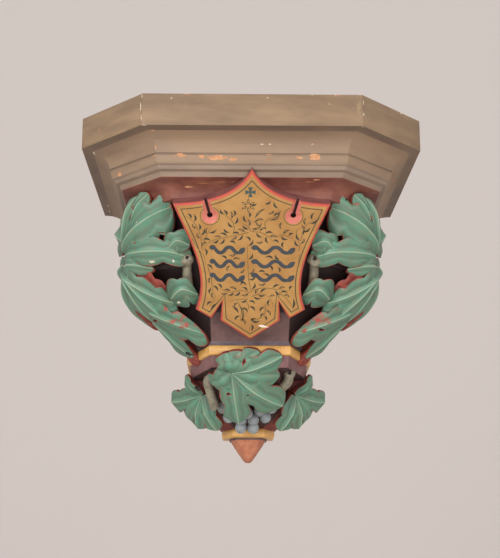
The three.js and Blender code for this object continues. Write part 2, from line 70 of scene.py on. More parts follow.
def painted_plaster(name, colour, shade, blotch_mm=14, streak=(1, 1, 1), roughness=0.62, bare=None,
        worn=0.7):
    """Matt oil paint on gypsum plaster, brushed on by hand: its colour drifts to a second shade over
    centimetres, and fine grit and brush marks break up its sheen. Where it is worn through, the
    plaster or the old ground under it shows."""
    material = bpy.data.materials.new(name)
    material.use_nodes = True
    nodes = material.node_tree.nodes
    shader = nodes["Principled BSDF"]
    place = add_node(material, "ShaderNodeTexCoord").outputs["Object"]
    drift = add_node(material, "ShaderNodeMapping", {"Vector": place, "Scale": streak})
    blotches = add_node(material, "ShaderNodeTexNoise", {
        "Vector": drift.outputs["Vector"], "Scale": 1000 / blotch_mm, "Detail": 5, "Roughness": 0.6})
    share = add_node(material, "ShaderNodeMapRange", {
        "Value": blotches.outputs["Fac"], "From Min": 0.36, "From Max": 0.66})
    paint = add_node(material, "ShaderNodeMix", {
        0: share.outputs["Result"], 6: to_linear(colour), 7: to_linear(shade)}, data_type="RGBA")
    result = paint.outputs[2]
    if bare:
        wear = add_node(material, "ShaderNodeTexNoise", {
            "Vector": place, "Scale": 1000 / 5.5, "Detail": 6, "Roughness": 0.72, "Distortion": 0.4})
        worn_off = add_node(material, "ShaderNodeMapRange", {
            "Value": wear.outputs["Fac"], "From Min": worn, "From Max": worn + 0.03})
        result = add_node(material, "ShaderNodeMix", {
            0: worn_off.outputs["Result"], 6: result, 7: to_linear(bare)}, data_type="RGBA").outputs[2]
    material.node_tree.links.new(result, shader.inputs["Base Color"])
    shader.inputs["Roughness"].default_value = roughness
    shader.inputs["IOR"].default_value = 1.5
    grit = add_node(material, "ShaderNodeTexNoise", {
        "Vector": place, "Scale": 1000 / 1.6, "Detail": 4, "Roughness": 0.65})
    bump = add_node(material, "ShaderNodeBump", {
        "Height": grit.outputs["Fac"], "Strength": 0.35, "Distance": 0.0006})
    material.node_tree.links.new(bump.outputs["Normal"], shader.inputs["Normal"])
    return material


def make_only(piece):
    bpy.ops.object.select_all(action="DESELECT")
    piece.select_set(True)
    bpy.context.view_layer.objects.active = piece


def pick_faces(piece, wanted):
    """Selects the faces for which wanted says yes, in edit mode with faces picked."""
    bpy.ops.mesh.select_mode(type="FACE")
    bpy.ops.mesh.select_all(action="DESELECT")
    mesh = bmesh.from_edit_mesh(piece.data)
    for face in mesh.faces:
        face.select_set(wanted(face))
    bmesh.update_edit_mesh(piece.data)


def apply_modifier(piece, kind, **settings):
    make_only(piece)
    modifier = piece.modifiers.new(kind.title(), kind)
    for name, value in settings.items():
        setattr(modifier, name, value)
    bpy.ops.object.modifier_apply(modifier=modifier.name)


def quarter_turn(run, fall, hollow, steps=9):
    """Steps of a quarter turn, each as an inset and a fall. A hollow one starts level."""
    marks = []
    for i in range(steps + 1):
        turn = i / steps * math.pi / 2
        quick, slow = math.sin(turn), 1 - math.cos(turn)
        across, down = (quick, slow) if hollow else (slow, quick)
        marks.append((across * run, down * fall))
    return [(b[0] - a[0], b[1] - a[1]) for a, b in zip(marks, marks[1:])]


shelf_paint = painted_plaster("oil_paint_grey_brown_on_plaster", "#856D56", "#76604C", 30,
    (0.3, 0.3, 1.4), bare="#B98A66", worn=0.7)
fillet_paint = painted_plaster("oil_paint_stone_on_plaster", "#7C6958", "#6E5B4B", 22, (0.3, 0.3, 1),
    bare="#B98A66", worn=0.7)
# The fascia's browner paint is also darkened as painted shade on its upright face.
fascia_paint_with_painted_shade = painted_plaster("brown_paint_with_painted_shade_on_fascia", "#7E664C", "#66513C", 26, (0.3, 0.3, 1.4),
    bare="#A58566", worn=0.68)
# A darker brown is painted shade at the top of the hollow under the fascia and under the quirk.
shelf_shade_paint = painted_plaster("painted_shade_in_hollow_of_shelf", "#6C5845", "#5E4C3E", 18, (0.3, 0.3, 1))
raw_plaster = painted_plaster("cast_gypsum_plaster_bare", "#D8CFC0", "#C9BEAD", 25, roughness=0.85)
throat_paint = painted_plaster("oil_paint_maroon_on_plaster", "#7C4A3A", "#5E2F27", 16, (0.6, 0.6, 1.2),
    bare="#C08A6E", worn=0.72)

bpy.ops.object.select_all(action="DESELECT")
bpy.ops.mesh.primitive_cube_add(size=1)
shelf = bpy.context.object
shelf.name = "shelf"
shelf.scale = (2 * SHELF_HALF_WIDTH * MM, 2 * SHELF_DEPTH * MM, FASCIA_HEIGHT * MM)
shelf.location.z = (SHELF_TOP - FASCIA_HEIGHT / 2) * MM
bpy.ops.object.transform_apply(location=True, rotation=True, scale=True)
bpy.ops.object.mode_set(mode="EDIT")
bpy.ops.mesh.select_mode(type="EDGE")
bpy.ops.mesh.select_all(action="DESELECT")
shelf_mesh = bmesh.from_edit_mesh(shelf.data)
for edge in shelf_mesh.edges:
    a, b = (vertex.co for vertex in edge.verts)
    edge.select_set(abs(a.z - b.z) > 0.01)
bmesh.update_edit_mesh(shelf.data)
bpy.ops.mesh.bevel(offset=SHELF_CANT * MM, segments=1, affect="EDGES")
pick_faces(shelf, lambda face: face.normal.z < -0.9)
moulding = [(2, 0)]
moulding += quarter_turn(27, 18.6, hollow=True)
moulding += [(0.9, 0)]
moulding += quarter_turn(4.1, 11.4, hollow=False)
moulding += [(1, 4), (3.5, 1), (1, 0), (2.5, 5.5)]
moulding += quarter_turn(24, 16, hollow=True)
for across, down in moulding:
    bpy.ops.mesh.inset(thickness=across * MM, depth=down * MM)
bpy.ops.mesh.select_all(action="SELECT")
bpy.ops.mesh.bisect(plane_co=(0, 0, 0), plane_no=(0, 1, 0), clear_outer=True, use_fill=True)
bpy.ops.object.mode_set(mode="OBJECT")
apply_modifier(shelf, "BEVEL", width=0.6 * MM, segments=2, limit_method="ANGLE",
    angle_limit=math.radians(28))
for material in (shelf_paint, fillet_paint, throat_paint, raw_plaster, fascia_paint_with_painted_shade, shelf_shade_paint):
    shelf.data.materials.append(material)
for face in shelf.data.polygons:
    drop = SHELF_TOP - face.center.z / MM
    if face.normal.y > 0.9:
        face.material_index = 3
    elif drop > 74:
        face.material_index = 2
    elif drop > 62.5:
        face.material_index = 1
    # The fascia takes its own brown, darkened in part as painted shade.
    elif drop < FASCIA_HEIGHT:
        face.material_index = 4
    # Painted shade: the top strip of the hollow under the fascia, and a strip under the quirk.
    elif drop < FASCIA_HEIGHT + 1.5 or 52.4 < drop < 54:
        face.material_index = 5
    else:
        face.material_index = 0

# Body. Under the shelf the casting narrows in a long hollow curve to the gilded band. It is painted
# maroon, darkened almost to black as painted shade in the recesses beside the shield.
THROAT_DROP = 74.5
BAND_DROP = 226
BAND_HEIGHT = 11
BAND_PLAN = {"side": 72, "front": 45, "cant_start": 68, "depth": 140}
THROAT_PLAN = {"side": 114, "front": 83.7, "cant_start": 208.7, "depth": 239}


def ring_at(plan, drop):
    """Corners of a half-octagon plan at a drop, from the left wall corner round the front."""
    side, front, cant_start, depth = (plan[key] for key in ("side", "front", "cant_start", "depth"))
    corners = [(-side, 0), (-side, -cant_start), (-front, -depth), (front, -depth), (side, -cant_start),
        (side, 0)]
    return [Vector((x, y, SHELF_TOP - drop)) * MM for x, y in corners]


def inset_plan(plan, inset):
    shift = inset * HALF_CANT
    return {"side": plan["side"] - inset, "front": plan["front"] - shift,
            "cant_start": plan["cant_start"] - shift, "depth": plan["depth"] - inset}


def mix_plans(low, high, shares):
    return {key: low[key] + (high[key] - low[key]) * shares[key] for key in low}


def drawn_down(name, rings):
    """Closed piece drawn down from its top ring through the others, corner by corner."""
    bpy.ops.object.select_all(action="DESELECT")
    bpy.ops.mesh.primitive_circle_add(vertices=len(rings[0]), fill_type="NGON")
    piece = bpy.context.object
    piece.name = name
    bpy.ops.object.mode_set(mode="EDIT")
    mesh = bmesh.from_edit_mesh(piece.data)
    mesh.verts.ensure_lookup_table()
    for vertex, corner in zip(mesh.verts, rings[0]):
        vertex.co = corner
    bmesh.update_edit_mesh(piece.data)
    for above, below in zip(rings, rings[1:]):
        bpy.ops.mesh.extrude_region_move(TRANSFORM_OT_translate={"value": (0, 0, 0)})
        mesh = bmesh.from_edit_mesh(piece.data)
        for vertex in mesh.verts:
            if vertex.select:
                nearest = min(range(len(above)), key=lambda i: (above[i] - vertex.co).length)
                vertex.co = below[nearest]
        bmesh.update_edit_mesh(piece.data)
    bpy.ops.mesh.select_all(action="SELECT")
    bpy.ops.mesh.normals_make_consistent(inside=False)
    bpy.ops.object.mode_set(mode="OBJECT")
    return piece


def band_rings(plan, drop, height, bevel=2.5):
    """Rings of a band whose front is half round."""
    rings = []
    for i in range(9):
        turn = math.pi * i / 8
        inset = bevel * (1 - math.sin(turn))
        rings.append(ring_at(inset_plan(plan, inset), drop + height * (1 - math.cos(turn)) / 2))
    return rings


def between(rows, fall):
    """Shares at a fall, on straight runs between rows eased at their ends."""
    for above, below in zip(rows, rows[1:]):
        if fall <= below["fall"]:
            t = (fall - above["fall"]) / (below["fall"] - above["fall"])
            return {key: above[key] + (below[key] - above[key]) * t for key in above if key != "fall"}
    return {key: value for key, value in rows[-1].items() if key != "fall"}


# Maroon taken almost to black: the body's maroon paint with painted shade in the recesses.
maroon_and_painted_shade_paint = painted_plaster("maroon_paint_darkened_as_painted_shade_in_recesses", "#220B07", "#130604", 18,
    bare="#6E3527", worn=0.7)
slate_paint = painted_plaster("oil_paint_slate_on_plaster", "#6A5E62", "#54474C", 12, bare="#B98A74",
    worn=0.72)
gilding = painted_plaster("gold_paint_on_plaster", "#C69853", "#AA7D3E", 10, (0.5, 0.5, 2),
    roughness=0.42, bare="#E0A27E", worn=0.64)
maroon_paint = painted_plaster("oil_paint_maroon_grey_on_plaster", "#74504F", "#5F3B3B", 14,
    bare="#B98A74", worn=0.74)

# A darker maroon than the lower panel: painted shade on the panel behind the shield's foot.
panel_paint_with_painted_shade = painted_plaster("maroon_paint_with_painted_shade_behind_shield", "#5E413C", "#4A2F2B", 14, bare="#B98A74",
    worn=0.74)

bell_rows = [
    {"fall": 0, "side": 1, "front": 1, "cant_start": 1, "depth": 1},
    {"fall": 0.2, "side": 1.04, "front": 0.51, "cant_start": 0.78, "depth": 0.76},
    {"fall": 0.48, "side": 1.16, "front": 0.14, "cant_start": 0.66, "depth": 0.49},
    {"fall": 0.77, "side": 0.8, "front": 0.03, "cant_start": 0.42, "depth": 0.17},
    {"fall": 1, "side": 0, "front": 0, "cant_start": 0, "depth": 0},
]
bell_foot = inset_plan(BAND_PLAN, 5)
bell_rings = []
for i in range(21):
    fall = i / 20
    drop = THROAT_DROP + (BAND_DROP - 5 - THROAT_DROP) * fall
    bell_rings.append(ring_at(mix_plans(bell_foot, THROAT_PLAN, between(bell_rows, fall)), drop))
body = drawn_down("body", bell_rings + band_rings(BAND_PLAN, BAND_DROP, BAND_HEIGHT))
for material in (maroon_and_painted_shade_paint, slate_paint, gilding, panel_paint_with_painted_shade, throat_paint, raw_plaster):
    body.data.materials.append(material)
for face in body.data.polygons:
    drop = SHELF_TOP - face.center.z / MM
    x, depth = abs(face.center.x) / MM, -face.center.y / MM
    if face.normal.y > 0.9:
        face.material_index = 5
    elif drop > BAND_DROP + 0.4:
        face.material_index = 2
    elif drop > BAND_DROP - 5.5:
        face.material_index = 1
    # The panel behind the shield's foot takes the maroon darkened as painted shade.
    elif drop > 190 and x < 44 and depth > 120:
        face.material_index = 3
    elif drop < 92:
        face.material_index = 4
    # The rest, in the recesses beside the shield, is near black with painted shade.
    else:
        face.material_index = 0

# Lower body. Under the gilded band a short panel stands over a hollow shaft, with a cheek along the
# wall on each side, and all of them run down to the small band.
LOWER_BAND_DROP = 306
LOWER_BAND_PLAN = {"side": 31, "front": 18, "cant_start": 26, "depth": 45}
panel_foot = BAND_DROP + BAND_HEIGHT + 13
shaft_top = inset_plan(BAND_PLAN, 23)
shaft_foot = inset_plan(LOWER_BAND_PLAN, 3)
shaft_rings = [ring_at(inset_plan(BAND_PLAN, 4), BAND_DROP + BAND_HEIGHT - 1.25)]
shaft_rings.append(ring_at(inset_plan(BAND_PLAN, 7), panel_foot))
for i in range(13):
    share = (i / 12) ** 1.3
    plan = mix_plans(shaft_top, shaft_foot, dict.fromkeys(shaft_top, share))
    shaft_rings.append(ring_at(plan, panel_foot + 2.5 + (LOWER_BAND_DROP - panel_foot - 2.5) * i / 12))
shaft = drawn_down("shaft", shaft_rings + band_rings(LOWER_BAND_PLAN, LOWER_BAND_DROP, 10))
red_cheek_paint = painted_plaster("oil_paint_red_on_plaster", "#74291F", "#551C16", 8, bare="#AA6C54",
    worn=0.7)
# The shaft's dark red is taken almost to black as painted shade behind the leaves and grapes.
shaft_paint_with_painted_shade = painted_plaster("oxblood_paint_with_painted_shade_in_shaft", "#38100C", "#220907", 12, bare="#8E4A38",
    worn=0.72)
for material in (maroon_paint, shaft_paint_with_painted_shade, gilding, raw_plaster):
    shaft.data.materials.append(material)
for face in shaft.data.polygons:
    drop = SHELF_TOP - face.center.z / MM
    # Below the panel the shaft takes the dark red with painted shade.
    face.material_index = 0 if drop < panel_foot else 1 if drop < LOWER_BAND_DROP + 0.3 else 2
    if face.normal.y > 0.9:
        face.material_index = 3

cheek_head = {**inset_plan(BAND_PLAN, 4), "cant_start": 52, "depth": 54.5}
cheek_foot = inset_plan(LOWER_BAND_PLAN, 3)
cheek_start = BAND_DROP + BAND_HEIGHT
cheek_fall = LOWER_BAND_DROP - cheek_start + 2.5
cheek_rings = []
for i in range(17):
    plan = mix_plans(cheek_head, cheek_foot, dict.fromkeys(cheek_head, (i / 16) ** 2.2))
    cheek_rings.append(ring_at(plan, cheek_start + cheek_fall * i / 16))
cheeks = drawn_down("cheeks", cheek_rings)
for material in (red_cheek_paint, raw_plaster):
    cheeks.data.materials.append(material)
for face in cheeks.data.polygons:
    face.material_index = 1 if face.normal.y > 0.9 else 0

# Pendant. A short dark neck under the small band carries a blunt cone, painted terracotta.
neck_top = LOWER_BAND_DROP + 10
pendant_rings = [ring_at(inset_plan(LOWER_BAND_PLAN, 9), neck_top - 3)]
pendant_rings.append(ring_at(inset_plan(LOWER_BAND_PLAN, 9), neck_top + 2))
pendant_plan = inset_plan(LOWER_BAND_PLAN, 11)
pendant_tip = {"side": 5, "front": 5 * HALF_CANT, "cant_start": 10, "depth": 15}
for i in range(9):
    share = i / 8
    plan = mix_plans(pendant_plan, pendant_tip, dict.fromkeys(pendant_plan, share ** 1.08))
    pendant_rings.append(ring_at(plan, neck_top + 2 + 22.5 * share))
tip_end = {key: value * (0.45 if key != "depth" else 0.75) for key, value in pendant_tip.items()}
pendant_rings.append(ring_at(tip_end, neck_top + 26.4))
pendant = drawn_down("pendant", pendant_rings)
terracotta_paint = painted_plaster("oil_paint_terracotta_on_plaster", "#AC6E50", "#95583F", 9,
    bare="#C08E72", worn=0.74)
neck_paint = painted_plaster("oil_paint_umber_on_plaster", "#5E4A44", "#4A3833", 9)
for material in (terracotta_paint, neck_paint, raw_plaster):
    pendant.data.materials.append(material)
for face in pendant.data.polygons:
    drop = SHELF_TOP - face.center.z / MM
    face.material_index = 2 if face.normal.y > 0.9 else 1 if drop < neck_top + 2.4 else 0
for piece in (body, shaft, cheeks, pendant):
    apply_modifier(piece, "BEVEL", width=0.7 * MM, segments=2, limit_method="ANGLE",
        angle_limit=math.radians(24))

# Shield. A thick plate that leans out over the body, with hollow top edges, notches at its foot and
# a countersunk key slot near each ear. Its face is gold with a thin dark line, its rounded edge red.
SHIELD_TIP = Vector((0, -152, SHELF_TOP - 223))
SHIELD_APEX = Vector((0, -276, SHELF_TOP - 70))
SHIELD_LENGTH = (SHIELD_APEX - SHIELD_TIP).length
SHIELD_THICKNESS = 29
shield_up = (SHIELD_APEX - SHIELD_TIP).normalized()
shield_out = Vector((1, 0, 0)).cross(shield_up)
shield_frame = Matrix((
    (1, shield_up.x, shield_out.x, SHIELD_TIP.x),
    (0, shield_up.y, shield_out.y, SHIELD_TIP.y),
    (0, shield_up.z, shield_out.z, SHIELD_TIP.z),
    (0, 0, 0, 1)))
into_metres = Matrix.Scale(MM, 4) @ shield_frame


def bezier(points, t):
    while len(points) > 1:
        points = [tuple(a + (b - a) * t for a, b in zip(p, q)) for p, q in zip(points, points[1:])]
    return points[0]


ear = (82, SHIELD_LENGTH - 38.5)
half_outline = [(32.5, 23.5), (30.7, 46), (42, 25.5), (59, 36.5)]
half_outline += [bezier([(59, 36.5), (42, 82), (70, 125), ear], i / 22) for i in range(1, 23)]
half_outline += [bezier([ear, (17, SHIELD_LENGTH - 37), (0, SHIELD_LENGTH)], i / 22) for i in range(1, 22)]
outline = [(0, 0)] + half_outline + [(0, SHIELD_LENGTH)] + [(-x, y) for x, y in reversed(half_outline)]


def gap_to(corners, point):
    """Shortest way from a point to a closed outline."""
    gaps = []
    for corner, following in zip(corners, corners[1:] + corners[:1]):
        run = following - corner
        share = min(max((point - corner).dot(run) / run.length_squared, 0), 1)
        gaps.append((corner + run * share - point).length)
    return min(gaps)


def inset_outline(points, inset):
    """The outline moved inwards. Where a corner leaves no room, its neighbours close up on it."""
    corners = [Vector(p) for p in points]
    count = len(corners)
    moved = []
    for i, corner in enumerate(corners):
        before = (corner - corners[i - 1]).normalized()
        after = (corners[(i + 1) % count] - corner).normalized()
        normals = [Vector((-d.y, d.x)) for d in (before, after)]
        middle = (normals[0] + normals[1]).normalized()
        sharpest = 0.2 if before.cross(after) > 0 else 0.62
        moved.append(corner + middle * inset / max(middle.dot(normals[0]), sharpest))

    free = [i for i, point in enumerate(moved) if gap_to(corners, point) > inset * 0.985]
    return [moved[min(free, key=lambda j: min(abs(i - j), count - abs(i - j)))] for i in range(count)]


shield_gold = painted_plaster("gold_oil_paint_on_plaster", "#9C743B", "#8E632B", 20, roughness=0.5,
    bare="#B9905A", worn=0.74)
rim_paint = painted_plaster("vermilion_oil_paint_on_plaster", "#AC402D", "#964234", 7, bare="#B9705C",
    worn=0.68)
line_paint = painted_plaster("umber_line_paint_on_plaster", "#433A1C", "#332A14", 6)
edge_paint = painted_plaster("maroon_oil_paint_on_shield_edge", "#7E4C48", "#673A38", 12, (0.5, 1, 1),
    bare="#C27C66", worn=0.7)
# A light strip along the back arris of the shield's edge is a painted highlight.
arris_highlight_paint = painted_plaster("painted_highlight_on_shield_arris", "#9A7C70", "#7E5A52", 9)
# Dark oxblood inside the key slots and their holes is painted shade.
slot_shade_paint = painted_plaster("painted_shade_in_key_slot", "#431511", "#2C0C0A", 5)
ring_paint = painted_plaster("rose_oil_paint_on_plaster", "#B4675A", "#A65546", 6, bare="#C08E80", worn=0.7)

bpy.ops.object.select_all(action="DESELECT")
bpy.ops.mesh.primitive_circle_add(vertices=len(outline), fill_type="NGON")
shield = bpy.context.object
shield.name = "shield"
for vertex, (x, y) in zip(shield.data.vertices, outline):
    vertex.co = (x, y, -SHIELD_THICKNESS)
bpy.ops.object.mode_set(mode="EDIT")
bpy.ops.mesh.select_all(action="SELECT")
bpy.ops.mesh.normals_make_consistent(inside=False)
for rise in (1.4, SHIELD_THICKNESS - 3.9):
    bpy.ops.mesh.extrude_region_move(TRANSFORM_OT_translate={"value": (0, 0, rise)})
rim = [(2.5 * (1 - math.cos(a)), 2.5 * (math.sin(a) - 1)) for a in (math.pi * i / 8 for i in range(1, 5))]
previous = [Vector((x, y, -2.5)) for x, y in outline]
line_places = set()
for inset, height in rim + [(5.5, 0), (6.6, 0)]:
    bpy.ops.mesh.extrude_region_move(TRANSFORM_OT_translate={"value": (0, 0, 0)})
    ring = [Vector((x, y, height)) for x, y in inset_outline(outline, inset)]
    shield_mesh = bmesh.from_edit_mesh(shield.data)
    for vertex in shield_mesh.verts:
        if vertex.select:
            vertex.co = ring[min(range(len(ring)), key=lambda i: (previous[i] - vertex.co).length)]
    bmesh.update_edit_mesh(shield.data)
    previous = ring
    if inset > 5:
        line_places |= {(round(x, 1), round(y, 1)) for x, y, _ in ring}
bpy.ops.mesh.select_all(action="SELECT")
bpy.ops.mesh.remove_doubles(threshold=0.01)
bpy.ops.mesh.normals_make_consistent(inside=False)
bpy.ops.object.mode_set(mode="OBJECT")
for material in (shield_gold, rim_paint, line_paint, edge_paint, arris_highlight_paint):
    shield.data.materials.append(material)
flat_outline = [Vector(corner) for corner in outline]
for face in shield.data.polygons:
    corners = [shield.data.vertices[i].co for i in face.vertices]
    # The back strip of the edge takes the painted highlight.
    if face.center.z < 1.5 - SHIELD_THICKNESS:
        face.material_index = 4
    elif face.center.z < -2.45:
        face.material_index = 3
    elif face.center.z < -0.01:
        face.material_index = 1
    elif len(face.vertices) < 9 and all((round(x, 1), round(y, 1)) in line_places for x, y, _ in corners):
        face.material_index = 2
shield.data.transform(into_metres)


def cast_boolean(piece, other, operation):
    """Joins another closed piece to this one, or cuts it out, and keeps both paints."""
    make_only(piece)
    modifier = piece.modifiers.new("Boolean", "BOOLEAN")
    modifier.object = other
    modifier.operation = operation
    modifier.solver = "MANIFOLD"
    modifier.material_mode = "TRANSFER"
    bpy.ops.object.modifier_apply(modifier=modifier.name)
    bpy.data.objects.remove(other, do_unlink=True)


for side in (1, -1):
    foot = Vector((side * 43.5, SHIELD_LENGTH - 51.5, 0))
    top = Vector((side * 49, SHIELD_LENGTH - 30, 0))
    along = (top - foot).length
    lean = Matrix.Translation(foot) @ Matrix.Rotation(math.atan2(top.y - foot.y, top.x - foot.x), 4, "Z")
    bpy.ops.mesh.primitive_cube_add(size=1)
    groove = bpy.context.object
    groove.data.transform(Matrix.Diagonal((along + 6, 8, 8, 1)) @ Matrix.Rotation(math.pi / 4, 4, "X"))
    groove.data.transform(into_metres @ lean @ Matrix.Translation((along / 2, 0, 1.1)))
    groove.data.materials.append(ring_paint)
    cast_boolean(shield, groove, "DIFFERENCE")
    bpy.ops.mesh.primitive_cone_add(vertices=40, radius1=3, radius2=14, depth=6)
    ring = bpy.context.object
    ring.data.transform(into_metres @ Matrix.Translation(foot))
    ring.data.materials.append(ring_paint)
    cast_boolean(shield, ring, "DIFFERENCE")
    # The hole and the slot are painted dark inside, as painted shade.
    bpy.ops.mesh.primitive_cylinder_add(vertices=20, radius=3, depth=24)
    hole = bpy.context.object
    hole.data.transform(into_metres @ Matrix.Translation(foot))
    hole.data.materials.append(slot_shade_paint)
    cast_boolean(shield, hole, "DIFFERENCE")
    bpy.ops.mesh.primitive_cube_add(size=1)
    slot = bpy.context.object
    slot.data.transform(into_metres @ lean @ Matrix.Translation((along / 2 + 2, 0,
        0)) @ Matrix.Diagonal((along + 4, 3, 16, 1)))
    slot.data.materials.append(slot_shade_paint)
    cast_boolean(shield, slot, "DIFFERENCE")

# Shield ornament. Scrollwork painted on the gold: thin olive stems with small dark comma leaves, a
# cross and a flower above, and rows of blue-grey wave strokes on both sides of the middle. Each
# stroke is let in flush with the face, a tenth of a millimetre deep, so that only its colour shows.
ink_paint = painted_plaster("olive_black_line_paint_on_gold", "#2B2A18", "#1D1C13", 5, bare="#6B5A2C",
    worn=0.74)
stem_line_paint = painted_plaster("olive_line_paint_on_gold", "#54431D", "#6B5023", 4, bare="#A67F3C",
    worn=0.6)
wave_paint = painted_plaster("blue_grey_paint_on_gold", "#2F3438", "#25292D", 7, bare="#7B7460", worn=0.78)
cross_paint = painted_plaster("green_black_paint_on_gold", "#33463F", "#2A3A34", 5)


def along_spine(points, share):
    """Places and directions on a smooth curve through the points."""
    points = np.array(points, float)
    whole = np.vstack([2 * points[0] - points[1], points, 2 * points[-1] - points[-2]])
    place = share * (len(points) - 1)
    i = np.clip(place.astype(int), 0, len(points) - 2)
    t = (place - i)[:, None]
    a, b, c, d = whole[i], whole[i + 1], whole[i + 2], whole[i + 3]
    square, cube = 2 * a - 5 * b + 4 * c - d, 3 * b - a - 3 * c + d
    centre = 0.5 * (2 * b + (c - a) * t + square * t ** 2 + cube * t ** 3)
    ahead = 0.5 * ((c - a) + 2 * square * t + 3 * cube * t ** 2)
    ahead[:, 2] = 0
    return centre, ahead / np.linalg.norm(ahead, axis=-1, keepdims=True)


def flat_stroke(points, widths, steps=6):
    """Thin flat bar along a smooth line, with its half widths from one end to the other."""
    bpy.ops.object.select_all(action="DESELECT")
    bpy.ops.mesh.primitive_grid_add(x_subdivisions=steps, y_subdivisions=1, size=2)
    stroke = bpy.context.object
    bpy.ops.object.mode_set(mode="EDIT")
    bpy.ops.mesh.extrude_region_move(TRANSFORM_OT_translate={"value": (0, 0, 1)})
    bpy.ops.mesh.select_all(action="SELECT")
    bpy.ops.mesh.normals_make_consistent(inside=False)
    bpy.ops.object.mode_set(mode="OBJECT")
    share = np.linspace(0, 1, steps + 1)
    centre, ahead = along_spine([(x, y, 0) for x, y in points], share)
    half = np.interp(share, np.linspace(0, 1, len(widths)), widths)
    for vertex in stroke.data.vertices:
        i = round((vertex.co.x + 1) / 2 * steps)
        aside = half[i] * (1 if vertex.co.y > 0 else -1)
        vertex.co.x = centre[i][0] - ahead[i][1] * aside
        vertex.co.y = centre[i][1] + ahead[i][0] * aside
    return stroke


def let_in(strokes, paint, depth=0.12):
    """Cuts strokes that don't cross each other into the shield's face, in one paint."""
    make_only(strokes[0])
    for stroke in strokes:
        stroke.select_set(True)
    if len(strokes) > 1:
        bpy.ops.object.join()
    inlay = bpy.context.object
    inlay.data.transform(into_metres @ Matrix.Translation((0, 0, -depth)))
    inlay.data.materials.append(paint)
    cast_boolean(shield, inlay, "DIFFERENCE")


def turned(angle, reach):
    return Vector((math.cos(angle), math.sin(angle))) * reach


# The face is ruled into squares first, so that every stroke is cut into small sound faces.
RULING = 12
make_only(shield)
bpy.ops.object.mode_set(mode="EDIT")
ruled = [(i * RULING, 0, (1, 0, 0)) for i in range(-6, 7)]
ruled += [(0, i * RULING, tuple(shield_up)) for i in range(1, 16)]
for x, up, across in ruled:
    pick_faces(shield, lambda face: face.normal.dot(shield_out) > 0.999)
    bpy.ops.mesh.bisect(plane_co=into_metres @ Vector((x, up, 0)), plane_no=across)
bpy.ops.object.mode_set(mode="OBJECT")

waves = []
for left, right in ((-44, -7), (0, 46)):
    for up in (107, 91, 75):
        waves.append([(left + (right - left) * i / 8, up + 3.6 * math.sin(math.pi * (i / 2 + 0.25)))
            for i in range(9)])
wave_profile = [0.9, 2.9, 2.9, 1.8] + [2.1] * 12 + [1.8, 2.9, 2.9, 0.9]
let_in([flat_stroke(marks, wave_profile, steps=38) for marks in waves], wave_paint)
wave_marks = [Vector(mark) for marks in waves for mark in marks]

stems = [
    [(-3, 127), (-15, 124), (-28, 121), (-40, 118), (-47, 113), (-52, 105)],
    [(0, 128), (10, 127), (18, 122), (24, 116)],
    [(-1, 128), (-3, 133), (-9, 137)],
    [(-19, 125), (-18, 133), (-21, 141), (-27, 146), (-29, 153)],
    [(1, 129), (8, 132), (10, 137)],
    [(15, 130), (14, 138), (19, 143), (27, 146), (28, 154)],
    [(-52, 108), (-53, 121), (-57, 133), (-63, 141), (-72, 147)],
    [(-52, 110), (-47, 123), (-43, 131)],
    [(-62, 120), (-57, 110), (-50, 100), (-48, 90)],
    [(-46, 88), (-42, 74), (-41, 60), (-38, 52), (-44, 41)],
    [(50, 104), (52, 119), (55, 132), (61, 139), (69, 145)],
    [(50, 116), (47, 128), (52, 133)],
    [(24, 122), (34, 124), (44, 120)],
    [(51, 102), (50, 90), (48, 76)],
    [(1, 58), (-2, 71), (-3, 87), (-4, 99), (-4, 112)],
    [(0, 57), (-10, 60), (-24, 58), (-34, 63)],
    [(1, 53), (11, 56), (20, 52), (25, 41)],
    [(-3, 50), (-14, 49), (-23, 47)],
    [(-14, 47), (-10, 37), (-11, 23)],
    [(-5, 48), (-2, 40), (-5, 33)],
    [(16, 44), (15, 31), (7, 25), (0, 19), (-1, 11)],
    [(30, 58), (39, 50), (47, 38)],
    [(2, 60), (14, 63), (30, 61), (44, 60)],
]
for points in stems:
    let_in([flat_stroke(points, [0.45, 0.4, 0.2], steps=18)], stem_line_paint, 0.1)

crescents = [
    [(3, 143), (8, 150), (14, 154)], [(2, 138), (8, 142), (13, 141)], [(18, 141), (26, 143), (30, 152)],
    [(0, 131), (7, 132), (11, 138)], [(54, 124), (55, 131), (52, 136)], [(-12, 42), (-8, 34), (-9, 22)],
    [(-20, 42), (-15, 37), (-13, 33)], [(0, 27), (5, 22), (11, 24)], [(-4, 66), (-9, 70), (-11, 66)],
    [(-36, 45), (-40, 41), (-43, 36)], [(46, 51), (47, 44), (45, 38)], [(61, 137), (66, 139), (71, 144)],
]
leaf_marks = [Vector(mark) for points in crescents for mark in points]
leaf_marks += [Vector((-3.7, 157)) + turned(math.radians(60 * i + 30), 6) for i in range(6)]
small_leaves = []


def on_face(spot):
    """Whether a place lies inside the shield's outline, by counting the sides above it."""
    hits = 0
    for a, b in zip(flat_outline, flat_outline[1:] + flat_outline[:1]):
        if (a.x > spot.x) != (b.x > spot.x):
            hits += a.y + (b.y - a.y) * (spot.x - a.x) / (b.x - a.x) > spot.y
    return hits % 2 == 1


def fits(start, heading, swing, reach):
    """Sets a comma leaf down where it has room from the others, the waves, the line and the slots."""
    middle = start + turned(heading, reach / 2)
    tip = middle + turned(heading + math.radians(swing), reach / 2)
    spots = [start, middle, tip]
    if min((spot - other).length for spot in spots for other in leaf_marks) < 2.7:
        return False
    if min((spot - other).length for spot in (middle, tip) for other in wave_marks) < 4.6:
        return False
    if min(gap_to(flat_outline, spot) for spot in spots) < 8.2:
        return False
    if min((spot - Vector((x, SHIELD_LENGTH - 51.5))).length for spot in spots
            for x in (-43.5, 43.5)) < 12.2:
        return False
    if min((spot - Vector((-1.6, 172))).length for spot in spots) < 12:
        return False
    leaf_marks.extend(spots)
    small_leaves.append(spots)
    return True


